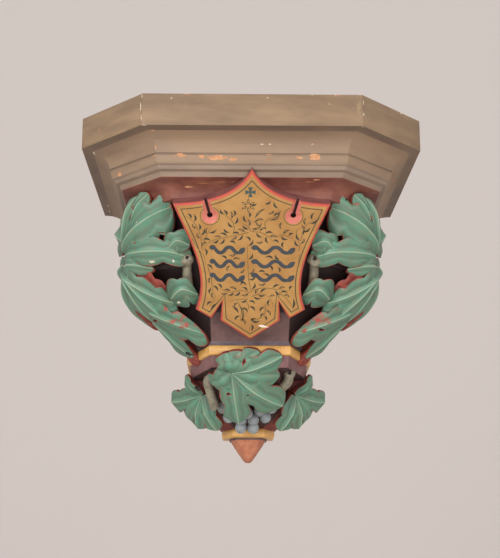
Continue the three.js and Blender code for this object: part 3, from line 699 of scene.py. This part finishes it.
for row, points in enumerate(stems):
    length = sum(math.dist(a, b) for a, b in zip(points, points[1:]))
    count = int(length / 2.9)
    centre, ahead = along_spine([(x, y, 0) for x, y in points], np.linspace(0.06, 1, count + 1))
    for i in range(count + 1):
        side = 1 if (i + row) % 2 else -1
        heading = math.atan2(ahead[i][1], ahead[i][0])
        for swing, reach in ((55, 9), (35, 7.5), (75, 6)):
            start = Vector(centre[i][:2]) + turned(heading + side * math.pi / 2, 1.1)
            if fits(start, heading + side * math.radians(swing), -40 * side, reach):
                break
for row in range(24):
    for i in range(22):
        spot = Vector((-75 + 7 * i + 3.5 * (row % 2), 12 + 7 * row))
        aim = Vector([noise.noise(Vector((spot.x / 5, spot.y / 5, 8 * axis + 0.4))) for axis in range(3)])
        inside = gap_to(flat_outline, spot) > 8.5 and on_face(spot)
        if inside and fits(spot + aim.to_2d() * 2, 9 * aim.z, 50 if aim.x > 0 else -50, 8 + 2 * aim.y):
            continue
dark_leaves = [flat_stroke(points, [0.1, 0.7, 1.25, 1.15, 0.6, 0.1], steps=8) for points in crescents]
dark_leaves += [flat_stroke(points, [0.1, 0.8, 1.25, 1.05, 0.5, 0.1]) for points in small_leaves]
petal_profile = [0.15, 0.9, 1.5, 1.2, 0.6, 0.1]
for i in range(6):
    ray = turned(math.radians(60 * i + 30), 1)
    dark_leaves.append(flat_stroke([Vector((-3.7, 157)) + ray * reach for reach in (1.7, 4.5, 8)],
        petal_profile))
dark_leaves.append(flat_stroke([(-3, 150), (-1.6, 147), (-2.6, 144)], [0.1, 0.8, 1.3, 0.9, 0.1]))
let_in(dark_leaves, ink_paint)

# The larger leaves and the petals are drawn in outline, so gold shows in the middle of each.
gold_middles = [flat_stroke([Vector((-3.7, 157)) + turned(math.radians(60 * i + 30), reach)
    for reach in (3, 4.5, 6.4)],
                            [0.1, 0.65, 0.8, 0.5, 0.1]) for i in range(6)]
for points in crescents[:6] + small_leaves[::3]:
    centre, ahead = along_spine([(x, y, 0) for x, y in points], np.array([0.3, 0.5, 0.72]))
    gold_middles.append(flat_stroke(centre[:, :2], [0.08, 0.42, 0.36, 0.08], steps=4))
let_in(gold_middles, shield_gold, 0.16)

bpy.ops.object.select_all(action="DESELECT")
bpy.ops.mesh.primitive_circle_add(vertices=12, fill_type="NGON")
cross = bpy.context.object
for i, vertex in enumerate(cross.data.vertices):
    x, y = ((5.4, -2.5), (5.4, 2.5), (0.9, 0.9))[i % 3]
    place = Matrix.Rotation(math.pi / 2 * (i // 3), 2) @ Vector((x, y))
    vertex.co = (place.x - 1.6, place.y + 171.8, 0)
bpy.ops.object.mode_set(mode="EDIT")
bpy.ops.mesh.select_all(action="SELECT")
bpy.ops.mesh.extrude_region_move(TRANSFORM_OT_translate={"value": (0, 0, 1)})
bpy.ops.mesh.select_all(action="SELECT")
bpy.ops.mesh.normals_make_consistent(inside=False)
bpy.ops.object.mode_set(mode="OBJECT")
let_in([cross], cross_paint)
for side in (1, -1):
    middle = Vector((side * 43.5, SHIELD_LENGTH - 51.5))
    arc = [middle + turned(math.radians(90 + side * (22 + 316 * i / 12)), 10) for i in range(13)]
    let_in([flat_stroke(arc, [0.35, 0.35], steps=36)], line_paint)
let_in([flat_stroke([(9, 18), (13, 17.2), (20, 16)], [0.4, 1.1, 1.6, 1, 0.3], steps=8)], raw_plaster, 0.4)

# Corner leaves. Two vine leaves wrap each canted corner, one over the other, with their lobes lying
# like blades round the corner. Each blade has a raised pale vein, toothed sides painted red, and a
# belly that runs back into the body. Their spines are [round the corner, fall in hundredths, out].
ROLL_FOOT_DROP = 64
SHEET_HEAD_DROP = ROLL_FOOT_DROP + 2
SHEET_FOOT_DROP = BAND_DROP + 26
sheet_head = {"out_x": 152, "out_depth": 305 - 69 - 34 / 3 + 6, "front_x": 85, "front_depth": 252}
sheet_foot = {"out_x": 80, "out_depth": 82, "front_x": 42, "front_depth": 126}
sheet_rows = {
    "fall": [0, 0.45, 0.667, 0.82, 1],
    "out_x": [1, 1.14, 0.89, 0.4, 0],
    "out_depth": [1, 0.73, 0.486, 0.25, 0],
    "front_x": [1, 0.465, 0.14, 0.03, 0],
    "front_depth": [1, 0.6, 0.333, 0.16, 0],
}


def sheet_size(key, fall):
    """One of the sheet's sizes at some falls, on a smooth curve through the rows."""
    falls, shares = np.array(sheet_rows["fall"]), np.array(sheet_rows[key], float)
    slopes = np.gradient(shares)
    slopes[1:-1] = (shares[2:] - shares[:-2]) / (falls[2:] - falls[:-2])
    slopes[0] = (shares[1] - shares[0]) / (falls[1] - falls[0])
    slopes[-1] = (shares[-1] - shares[-2]) / (falls[-1] - falls[-2])
    i = np.clip(np.searchsorted(falls, fall, side="left") - 1, 0, len(falls) - 2)
    run = falls[i + 1] - falls[i]
    t = (fall - falls[i]) / run
    turn = t * t * (3 - 2 * t)
    share = shares[i] + (shares[i + 1] - shares[i]) * turn
    share = share + t * (1 - t) * run * ((1 - t) * slopes[i] - t * slopes[i + 1])
    return sheet_foot[key] + (sheet_head[key] - sheet_foot[key]) * share


def corner_sheet(around, fall, out):
    """Points of the sheet round the right corner, in millimetres."""
    share = fall / 100
    corner = np.stack([sheet_size("out_x", share), -sheet_size("out_depth", share)], -1)
    front = np.stack([sheet_size("front_x", share), -sheet_size("front_depth", share)], -1)
    ahead = front - corner
    ahead /= np.linalg.norm(ahead, axis=-1, keepdims=True)
    back = np.array([-0.3, 1]) / math.hypot(0.3, 1)
    root = np.hypot(around, 42)
    place = corner + ahead * ((root + around) / 2)[:, None] + back * ((root - around) / 2)[:, None]
    turn = (around / root)[:, None]
    along = ahead * (1 + turn) + back * (turn - 1)
    along /= np.linalg.norm(along, axis=-1, keepdims=True)
    drop = SHEET_HEAD_DROP + (SHEET_FOOT_DROP - SHEET_HEAD_DROP) * share
    return np.stack([place[:, 0] - along[:, 1] * out, place[:, 1] + along[:, 0] * out, SHELF_TOP - drop],
        -1)


def leaf_lobe(sheet, unit, spine, upper, lower, blunt=2, cup=0.25, belly=25, teeth=3, mirror=1, red=False,
        vein=1, blush=0, folds=1):
    """Blade along a spine on a sheet, from a flat grid that is thickened and then bent in place."""
    bpy.ops.object.select_all(action="DESELECT")
    bpy.ops.mesh.primitive_grid_add(x_subdivisions=30, y_subdivisions=20, size=2)
    lobe = bpy.context.object
    bpy.ops.object.mode_set(mode="EDIT")
    bpy.ops.mesh.extrude_region_move(TRANSFORM_OT_translate={"value": (0, 0, -1)})
    bpy.ops.object.mode_set(mode="OBJECT")
    mesh = lobe.data
    flat = np.empty(3 * len(mesh.vertices))
    mesh.vertices.foreach_get("co", flat)
    flat = flat.reshape(-1, 3)
    u, v, on_top = (flat[:, 0] + 1) / 2, flat[:, 1], flat[:, 2] > -0.5
    points = [(x, y / unit, z) for x, y, z in spine]
    centre, ahead = along_spine(points, u)
    to_tip = np.maximum(u - 0.45, 0) / 0.55
    to_base = np.maximum(0.45 - u, 0) / 0.45
    taper = np.maximum((1 - to_tip ** blunt) ** (1 / blunt), 0.14) - 0.45 * to_base ** 2
    tooth = 1 + 0.34 * (np.abs(np.sin(math.pi * teeth * u)) - 0.5)
    width = np.where(v > 0, upper, lower) * taper * tooth
    aside = v * width * np.where(on_top, 1, 0.92)
    ridge = vein * np.exp(-(aside / 0.95) ** 2)
    fold = 0.085 * folds * width * np.cos(v * math.pi * 2.5) * (1 - v ** 2)
    ruffle = 0.1 * folds * width * v ** 4 * np.cos(2 * math.pi * teeth * u + 2 * v)
    thickness = 5 + (belly - 5) * (1 - v ** 2) * (1 - u ** 2)
    out = centre[:, 2] - cup * width * v ** 2 + np.where(on_top, 1.1 * ridge + fold, -thickness) + ruffle
    place = sheet(centre[:, 0] + ahead[:, 1] * aside, (centre[:, 1] - ahead[:, 0] * aside) * unit, out)
    place[:, 0] *= mirror
    mesh.vertices.foreach_set("co", (place * MM).ravel())
    reach = np.maximum(np.clip((np.abs(v) - 0.7) / 0.3, 0, 1), np.clip((u - 0.9) / 0.1, 0, 1))
    reach = np.maximum(reach, blush * np.clip((u - 0.25) / 0.3, 0, 1) * np.clip(v + 1, 0, 1))
    # Painted shade: the green darkens towards the blade's sides, its base and the valleys of its folds.
    crease_shade = np.abs(v) ** 1.5 + 0.8 * to_base + 0.75 * np.clip(-np.cos(v * math.pi * 2.5), 0, 1)
    for name, values in (("vein", ridge * on_top), ("edge", np.where(on_top, reach, 1)), ("crease_shade", crease_shade)):
        attribute = mesh.attributes.new(name, "FLOAT", "POINT")
        attribute.data.foreach_set("value", values)
    for material in (leaf_paint, leaf_back_paint):
        mesh.materials.append(material)
    for face in mesh.polygons:
        face.material_index = 1 if red or not all(on_top[i] for i in face.vertices) else 0
    bpy.ops.object.mode_set(mode="EDIT")
    bpy.ops.mesh.select_all(action="SELECT")
    bpy.ops.mesh.normals_make_consistent(inside=False)
    bpy.ops.object.mode_set(mode="OBJECT")
    return lobe


leaf_paint = painted_plaster("green_oil_paint_on_plaster", "#4C7E67", "#60745D", 9, roughness=0.48,
    bare="#8C574A", worn=0.67)
leaf_back_paint = painted_plaster("red_oil_paint_under_leaves", "#87382A", "#5E241C", 6, bare="#B0705A",
    worn=0.7)
leaf_shader = leaf_paint.node_tree.nodes["Principled BSDF"]
green = leaf_shader.inputs["Base Color"].links[0].from_socket
vein_mark = add_node(leaf_paint, "ShaderNodeAttribute", attribute_name="vein").outputs["Fac"]
vein_line = add_node(leaf_paint, "ShaderNodeMapRange", {"Value": vein_mark, "From Min": 0.4, "From Max": 1})
veined = add_node(leaf_paint, "ShaderNodeMix", {
    0: vein_line.outputs["Result"], 6: green, 7: to_linear("#93A48C")}, data_type="RGBA")
# The leaf green is mixed towards dark olive by the painted shade in its creases.
crease_shade_mark = add_node(leaf_paint, "ShaderNodeAttribute", attribute_name="crease_shade").outputs["Fac"]
crease_shade_line = add_node(leaf_paint, "ShaderNodeMapRange",
    {"Value": crease_shade_mark, "From Min": 0.15, "From Max": 1.3, "To Max": 0.7})
crease_shaded = add_node(leaf_paint, "ShaderNodeMix", {
    0: crease_shade_line.outputs["Result"], 6: veined.outputs[2], 7: to_linear("#39493B")}, data_type="RGBA")
edge_mark = add_node(leaf_paint, "ShaderNodeAttribute", attribute_name="edge").outputs["Fac"]
brush = add_node(leaf_paint, "ShaderNodeTexNoise", {
    "Vector": add_node(leaf_paint, "ShaderNodeTexCoord").outputs["Object"], "Scale": 1000 / 7, "Detail": 4})
uneven = add_node(leaf_paint, "ShaderNodeMath", {
    0: edge_mark, 1: brush.outputs["Fac"]}, operation="ADD")
edge_line = add_node(leaf_paint, "ShaderNodeMapRange", {
    "Value": uneven.outputs["Value"], "From Min": 1.36, "From Max": 1.52})
edged = add_node(leaf_paint, "ShaderNodeMix", {
    0: edge_line.outputs["Result"], 6: crease_shaded.outputs[2], 7: to_linear("#8E3D31")}, data_type="RGBA")
leaf_paint.node_tree.links.new(edged.outputs[2], leaf_shader.inputs["Base Color"])

corner_lobes = [
    dict(spine=[[-6, 34, 2], [2, 24, 7], [8, 15, 8], [18, 8, 2]], upper=9, lower=9, teeth=2),
    dict(spine=[[10, 24, 2], [24, 15, 8], [36, 8, 3]], upper=12, lower=12, teeth=2),
    dict(spine=[[-4, 35, 2], [24, 27, 10], [48, 20.5, 9], [66, 15.5, -2]], upper=18, lower=23, blunt=3,
    blush=0.72),
    dict(spine=[[-8, 38.6, -3], [20, 38.7, 8], [46, 39.1, 12], [71, 39.8, 10], [94, 41.5, -5]], upper=13,
    lower=11, blunt=3),
    dict(spine=[[64, 40, 5], [78, 34.5, 10], [92, 35.5, 1]], upper=12, lower=11, teeth=2),
    dict(spine=[[-10, 43, -2], [20, 44.5, 8], [48, 46.5, 1]], upper=7, lower=8, teeth=2),
    dict(spine=[[-10, 45, 0], [12, 53, 10], [30, 59, 12], [46, 62.6, 8], [58, 63.2, -3]], upper=13,
    lower=12, blunt=3),
    dict(spine=[[56, 62, 3], [76, 58.5, 11], [91, 60, 1]], upper=12, lower=12, teeth=2),
    dict(spine=[[-8, 46.5, 3], [10, 53, 10], [20, 61, 12], [28, 68, 10], [30, 75, 2]], upper=14, lower=13,
    teeth=2),
    dict(spine=[[-12, 47, 1], [4, 56, 8], [8, 64, 9], [6, 73, 1]], upper=13, lower=15, teeth=2),
    dict(spine=[[6, 64, 3], [24, 70.5, 10], [42, 76, 13], [60, 79.5, 2]], upper=17, lower=15, blunt=4,
    blush=0.9),
    dict(spine=[[4, 72, 3], [10, 78, 9], [13, 84, 9], [18, 90.5, -1]], upper=13, lower=13, teeth=2),
    dict(spine=[[2, 45, -3], [22, 50, 3], [42, 56, 3], [58, 60, -6]], upper=13, lower=12, red=True, vein=0),
    dict(spine=[[6, 78, -2], [12, 86, 2], [22, 93, -4]], upper=8, lower=13, teeth=2, red=True, vein=0),
    dict(spine=[[-4, 30, 4], [-26, 24, 9], [-50, 20, 8], [-72, 17, -3]], upper=20, lower=20, teeth=2),
    dict(spine=[[-6, 42, 0], [-28, 44, 5], [-52, 46, 4], [-72, 48, -6]], upper=13, lower=13, teeth=2),
    dict(spine=[[-8, 50, 4], [-22, 58, 7], [-36, 65, 5], [-48, 71, -5]], upper=15, lower=15, teeth=2),
]
sheet_unit = 100 / (SHEET_FOOT_DROP - SHEET_HEAD_DROP)
leaves = [leaf_lobe(corner_sheet, sheet_unit, mirror=side, **lobe) for side in (1, -1)
    for lobe in corner_lobes]

# Hanging leaves. A large vine leaf hangs forward over the grapes, and a smaller one stands against
# the wall on each side of them. Each is a plate bent round its middle, with lobes from its stalk.


def plate_sheet(x, depth, drop, turn, tilt, bend):
    """Sheet of a leaf that hangs from its stalk, read across and down from there."""
    frame_of_leaf = np.array(Matrix.Rotation(math.radians(turn), 3,
        "Z") @ Matrix.Rotation(math.radians(tilt), 3, "X"))

    def sheet(across, fall, out):
        local = np.stack([across, across ** 2 / (2 * bend) - out, -fall], -1)
        return local @ frame_of_leaf.T + np.array([x, -depth, SHELF_TOP - drop])

    return sheet


def spread_lobes(lobes, arch=6, folds=1):
    for angle, reach, half_width, tip, vein in lobes:
        turn = math.radians(angle)
        marks = ((0, 0), (0.4, arch), (0.75, arch + (tip - arch) * 0.4), (1, tip))
        spine = [[share * reach * math.cos(turn), -share * reach * math.sin(turn), out] for share,
            out in marks]
        yield dict(spine=spine, upper=half_width, lower=half_width, cup=0.14, belly=14, teeth=2,
            vein=vein, folds=folds)


hanging_leaf = plate_sheet(-20, 136, 257, 0, 39, 150)
hanging_lobes = [
    [17, 58, 15, 2, 1], [-9, 54, 14, 0, 0], [-41, 77, 18, -4, 1], [-83, 67, 15, -4, 1],
    [-142, 28, 14, -4, 0], [103, 27, 13, 2, 0], [70, 30, 13, 2, 0], [42, 40, 14, 2, 0],
]
leaves += [leaf_lobe(hanging_leaf, 1, **lobe) for lobe in spread_lobes(hanging_lobes, folds=0.5)]
lower_leaf = plate_sheet(54, 72, 272, 33, 25, 70)
lower_lobes = [[48, 32, 7, -4, 0], [-8, 53, 13, 8, 1], [-34, 48, 13, -4, 0], [-62, 46, 13, -4, 1],
    [-98, 45, 12, -4, 1]]
leaves += [leaf_lobe(lower_leaf, 1, mirror=side, **lobe) for side in (1, -1)
    for lobe in spread_lobes(lower_lobes)]

# Fruit and stems. A bunch of grapes hangs behind the middle leaf, between two cut stems, and a stem
# with a knob stands between the leaves of each corner.
grape_paint = painted_plaster("grey_blue_oil_paint_on_plaster", "#6F7678", "#848A8A", 5, bare="#9A9080",
    worn=0.7)
stem_paint = painted_plaster("beige_oil_paint_on_plaster", "#807A67", "#5C5546", 6, bare="#A3967C",
    worn=0.66)
fruit = []
for count, depth, drop in ((5, 78, 293), (4, 72.4, 301.4), (2, 66.8, 309.8)):
    for i in range(count):
        aside = (i - (count - 1) / 2) * 14
        back = abs(aside) / 4
        bpy.ops.object.select_all(action="DESELECT")
        bpy.ops.mesh.primitive_uv_sphere_add(segments=20, ring_count=12, radius=6.8 * MM)
        grape = bpy.context.object
        for vertex in grape.data.vertices:
            fold = noise.noise(vertex.co * 200 + Vector((i, count, 0)))
            vertex.co *= 1 + 0.06 * fold
        grape.data.transform(Matrix.Translation(Vector((aside - 2, back - depth,
            SHELF_TOP - drop + back)) * MM))
        grape.data.materials.append(grape_paint)
        fruit.append(grape)


def stem(points, radius=5.4):
    """Round stem along a smooth line, with a swollen joint here and there."""
    bpy.ops.object.select_all(action="DESELECT")
    line = bpy.data.curves.new("stem", "CURVE")
    line.dimensions = "3D"
    line.bevel_depth = radius * MM
    line.bevel_resolution = 4
    line.resolution_u = 6
    line.use_fill_caps = True
    run = line.splines.new("NURBS")
    run.points.add(len(points) - 1)
    run.use_endpoint_u = True
    run.order_u = 3
    for i, (point, (x, depth, drop)) in enumerate(zip(run.points, points)):
        point.co = (x * MM, -depth * MM, (SHELF_TOP - drop) * MM, 1)
        point.radius = 1.15 if i % 2 else 0.85
    piece = bpy.data.objects.new("stem", line)
    bpy.context.scene.collection.objects.link(piece)
    make_only(piece)
    bpy.ops.object.convert(target="MESH")
    piece = bpy.context.object
    bpy.ops.object.mode_set(mode="EDIT")
    bpy.ops.mesh.select_all(action="SELECT")
    bpy.ops.mesh.remove_doubles(threshold=0.01 * MM)
    bpy.ops.mesh.normals_make_consistent(inside=False)
    bpy.ops.object.mode_set(mode="OBJECT")
    piece.data.materials.append(stem_paint)
    return piece


def knob(x, depth, drop, radius=7.5):
    """Swollen end of a stem, uneven as if cut."""
    bpy.ops.object.select_all(action="DESELECT")
    bpy.ops.mesh.primitive_ico_sphere_add(subdivisions=4, radius=radius * MM)
    piece = bpy.context.object
    for vertex in piece.data.vertices:
        vertex.co *= 1 + 0.16 * noise.noise(vertex.co * 190 + Vector((x, 0, drop)) * 0.1)
    piece.data.transform(Matrix.Translation(Vector((x, -depth, SHELF_TOP - drop)) * MM))
    piece.data.materials.append(stem_paint)
    return piece


for side in (1, -1):
    fruit.append(knob(side * 68, 196, 144))
    fruit.append(stem([(side * 68, 188, 145), (side * 70, 182, 155), (side * 66, 168, 171)]))
for points in (
    [(-32, 108, 253), (-48, 104, 256), (-45, 98, 270), (-38, 86, 288)],
    [(45, 108, 252), (45, 102, 260), (36, 100, 268), (28, 96, 278)],
):
    fruit.append(knob(*points[0], radius=6.5))
    fruit.append(stem(points))

# Casting. All the forms above are one body of plaster, so they are joined into one closed skin.
castings = [shelf, body, shaft, cheeks, pendant, shield] + leaves + fruit
corbel = castings[0]
for other in castings[1:]:
    cast_boolean(corbel, other, "UNION")

# Chips. Paint and plaster have flaked off along the mouldings and at some leaf tips, and the leaves
# are pierced where they fold. Each is a thin uneven lens, [x, y, z, half width, half height], laid on
# the surface and taken out of it.


def lenses(places, paint, deep):
    """Joined lenses at places on the casting, each turned to the surface it lies on."""
    pieces = []
    for x, y, z, wide, tall in places:
        _, spot, normal, _ = corbel.closest_point_on_mesh(Vector((x, y, z)) * MM)
        bpy.ops.object.select_all(action="DESELECT")
        bpy.ops.mesh.primitive_ico_sphere_add(subdivisions=3, radius=1)
        lens = bpy.context.object
        for vertex in lens.data.vertices:
            ragged = 0.86 + 0.7 * noise.noise(Vector((2.6 * vertex.co.x, 2.6 * vertex.co.y, x + z)))
            vertex.co = Vector((vertex.co.x * wide * ragged, vertex.co.y * tall * ragged,
                vertex.co.z * deep))
        lens.data.transform(Matrix.LocRotScale(spot, normal.to_track_quat("Z", "Y"), Vector((MM, MM, MM))))
        lens.data.materials.append(paint)
        pieces.append(lens)
    make_only(pieces[0])
    for lens in pieces:
        lens.select_set(True)
    bpy.ops.object.join()
    return bpy.context.object


pale_chip = painted_plaster("gypsum_plaster_in_chips", "#C9BDA9", "#B8AA94", 5, roughness=0.85)
chip_paint = painted_plaster("peach_ground_in_chips", "#B4855F", "#A5744F", 4, roughness=0.8,
    bare="#D8CFC0", worn=0.6)
crack_paint = painted_plaster("ochre_ground_in_crack", "#9A6B3C", "#7E5330", 3, roughness=0.8)
patch_paint = painted_plaster("yellowed_paint_patch", "#857050", "#786348", 6)
peach_chips = [
    [-100, -274, 45, 3, 1], [-73, -275, 45, 6, 2.2], [-52, -275, 44, 4.5, 2.8], [-36, -275, 42, 8.5, 3.4],
    [-20, -274, 41, 5, 2],
    [17, -276, 46, 3, 0.8], [18, -274, 41, 3, 0.8], [48, -275, 43, 4, 1.6], [64, -275, 44, 6.5, 5],
    [-139, -232, 39, 3.5, 3],
    [158, -186, 59, 9, 1.4], [164, -150, 63, 9, 1.6], [164, -124, 63, 1.5, 3], [-101, -293, 65, 3, 1],
    [-160, -256, 80, 1, 2], [-66, -246, 21, 5, 1.5],
    [67, -258, 25, 4, 2], [-99, -278, 53, 1, 3], [62, -280, 56, 2, 1], [-66, -305, 99.5, 6, 0.6],
    [84, -305, 99.5, 5, 0.6],
]
cream_chips = [
    [10, -279, 56, 2, 0.7], [18, -279, 56, 1.5, 0.7], [-82, -305, 95, 0.8, 0.8], [15, -305, 96, 0.8, 0.8],
    [60, -305, 100, 0.6, 1.6],
    [-113, -303, 86, 0.8, 6], [-109, -304, 66, 3, 1], [112, -304, 79, 1, 1.6], [111, -303, 66, 1, 1],
    [109, -305, 100, 1.5, 1],
    [157, -259, 99, 1.5, 1], [-168, -226, 64, 5, 1.4], [-173, -20, 65, 2.5, 1.2], [-172, -43, 65, 1.5, 2],
    [-112, -304, 97, 0.6, 2], [-112, -304, 74, 0.7, 3],
    [112, -304, 92, 0.6, 3], [-105, -201, -48, 3.5, 1.4], [-83, -202, -47, 1.5, 1.6],
    [-78, -168, -85, 2, 1.6], [-122, -217, -9, 1, 1],
]
red_scars = [
    [-7, -146, -144, 2.6, 5], [15, -140, -140, 2, 2.6], [12, -125, -161, 4, 2], [-23, -123, -177, 4, 2.2],
    [1, -112, -183, 2.2, 6],
    [-110, -216, 15, 4, 6], [-126, -216, 7, 1.5, 8], [-94, -214, -19, 6, 1.2], [-107, -213, -24, 6, 1],
    [-124, -203, -28, 4, 1],
    [79, -145, -110, 6, 3], [-105, -140, -99, 5, 2.5],
]
# The hollows are painted near black inside, as painted shade in the holes and the cut stem ends.
hollows = [
    [-7, -146, -144, 1, 3], [12, -125, -161, 2.2, 1], [-23, -123, -177, 2, 1], [-2, -120, -177, 1.3, 1.5],
    [10, -100, -189, 1.3, 1.5],
    [-110, -216, 15, 2, 3.5], [-69, -110, -131, 5, 3], [-56, -80, -163, 4.5, 4.5],
    [-105, -140, -99, 3, 1.4], [100, -228, 13, 1.6, 2],
    [79, -145, -110, 3, 1.8], [-68, -204, -44, 2.6, 2.4], [68, -204, -44, 2.6, 2.4],
    [-32, -115, -153, 2.4, 2.2], [45, -115, -152, 2.8, 2.8],
]
for places, paint, deep in (
    (peach_chips, chip_paint, 0.6),
    (cream_chips, pale_chip, 0.5),
    ([[-51, -251, 23, 7, 0.9], [-33, -253, 24, 8, 1], [-20, -254, 22, 3, 0.6], [60, -254, 24, 6, 0.8]],
    crack_paint, 0.5),
    ([[107, -305, 86, 3, 8]], patch_paint, 0.25),
    (red_scars, leaf_back_paint, 0.6),
    (hollows, maroon_and_painted_shade_paint, 2.4),
):
    cast_boolean(corbel, lenses(places, paint, deep), "DIFFERENCE")

# Finish. The casting is smoothed by angle, while the flat painted face of the shield is left flat,
# and it takes the place of the solid.
corbel.name = "corbel_casting"
make_only(corbel)
bpy.ops.object.shade_smooth_by_angle(angle=math.radians(38))
flat_paints = {paint.name for paint in (shield_gold, ink_paint, stem_line_paint, wave_paint, cross_paint,
    line_paint)}
for face in corbel.data.polygons:
    if corbel.data.materials[face.material_index].name in flat_paints:
        face.use_smooth = False
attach(corbel, "root")
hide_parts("corbel")

# Studio. A pale floor and backdrop, soft light from the front and from below it, and the camera.
studio_grey = bpy.data.materials.new("studio_paper_pale")
studio_grey.use_nodes = True
studio_grey.node_tree.nodes["Principled BSDF"].inputs["Base Color"].default_value = to_linear("#DAD3D0")
studio_grey.node_tree.nodes["Principled BSDF"].inputs["Roughness"].default_value = 0.9
for name, place, turn in (("floor", (0, 0, -0.9), 0), ("backdrop", (0, 3.2, 0), math.pi / 2)):
    bpy.ops.object.select_all(action="DESELECT")
    bpy.ops.mesh.primitive_plane_add(size=12, location=place, rotation=(turn, 0, 0))
    paper = bpy.context.object
    paper.name = name
    bpy.ops.object.transform_apply(location=True, rotation=True, scale=True)
    paper.data.materials.append(studio_grey)


def soft_light(name, place, aim, size, watts):
    lamp = bpy.data.lights.new(name, "AREA")
    lamp.size = size
    lamp.energy = watts
    holder = bpy.data.objects.new(name, lamp)
    bpy.context.scene.collection.objects.link(holder)
    holder.location = place
    holder.rotation_euler = (Vector(aim) - Vector(place)).to_track_quat("-Z", "Y").to_euler()


soft_light("key", (-0.9, -1.7, 0.25), (0, -0.1, -0.05), 0.8, 20)
soft_light("fill", (1.1, -1.6, -0.1), (0, -0.1, -0.05), 1.1, 10)
soft_light("low", (0, -1.3, -0.8), (0, -0.1, 0), 1.2, 12)
sky = bpy.data.worlds.new("studio_air")
sky.use_nodes = True
sky.node_tree.nodes["Background"].inputs["Color"].default_value = to_linear("#F2EFEC")
sky.node_tree.nodes["Background"].inputs["Strength"].default_value = 1
bpy.context.scene.world = sky
bpy.context.scene.view_settings.view_transform = "Standard"

camera_data = bpy.data.cameras.new("camera")
camera_data.sensor_fit = "VERTICAL"
camera_data.sensor_height = 36
camera_data.lens = 74
camera = bpy.data.objects.new("camera", camera_data)
bpy.context.scene.collection.objects.link(camera)
camera.location = (-0.022, -1.382, -0.369)
camera.rotation_euler = (math.radians(104.36), 0, math.radians(-1.02))
bpy.context.scene.camera = camera
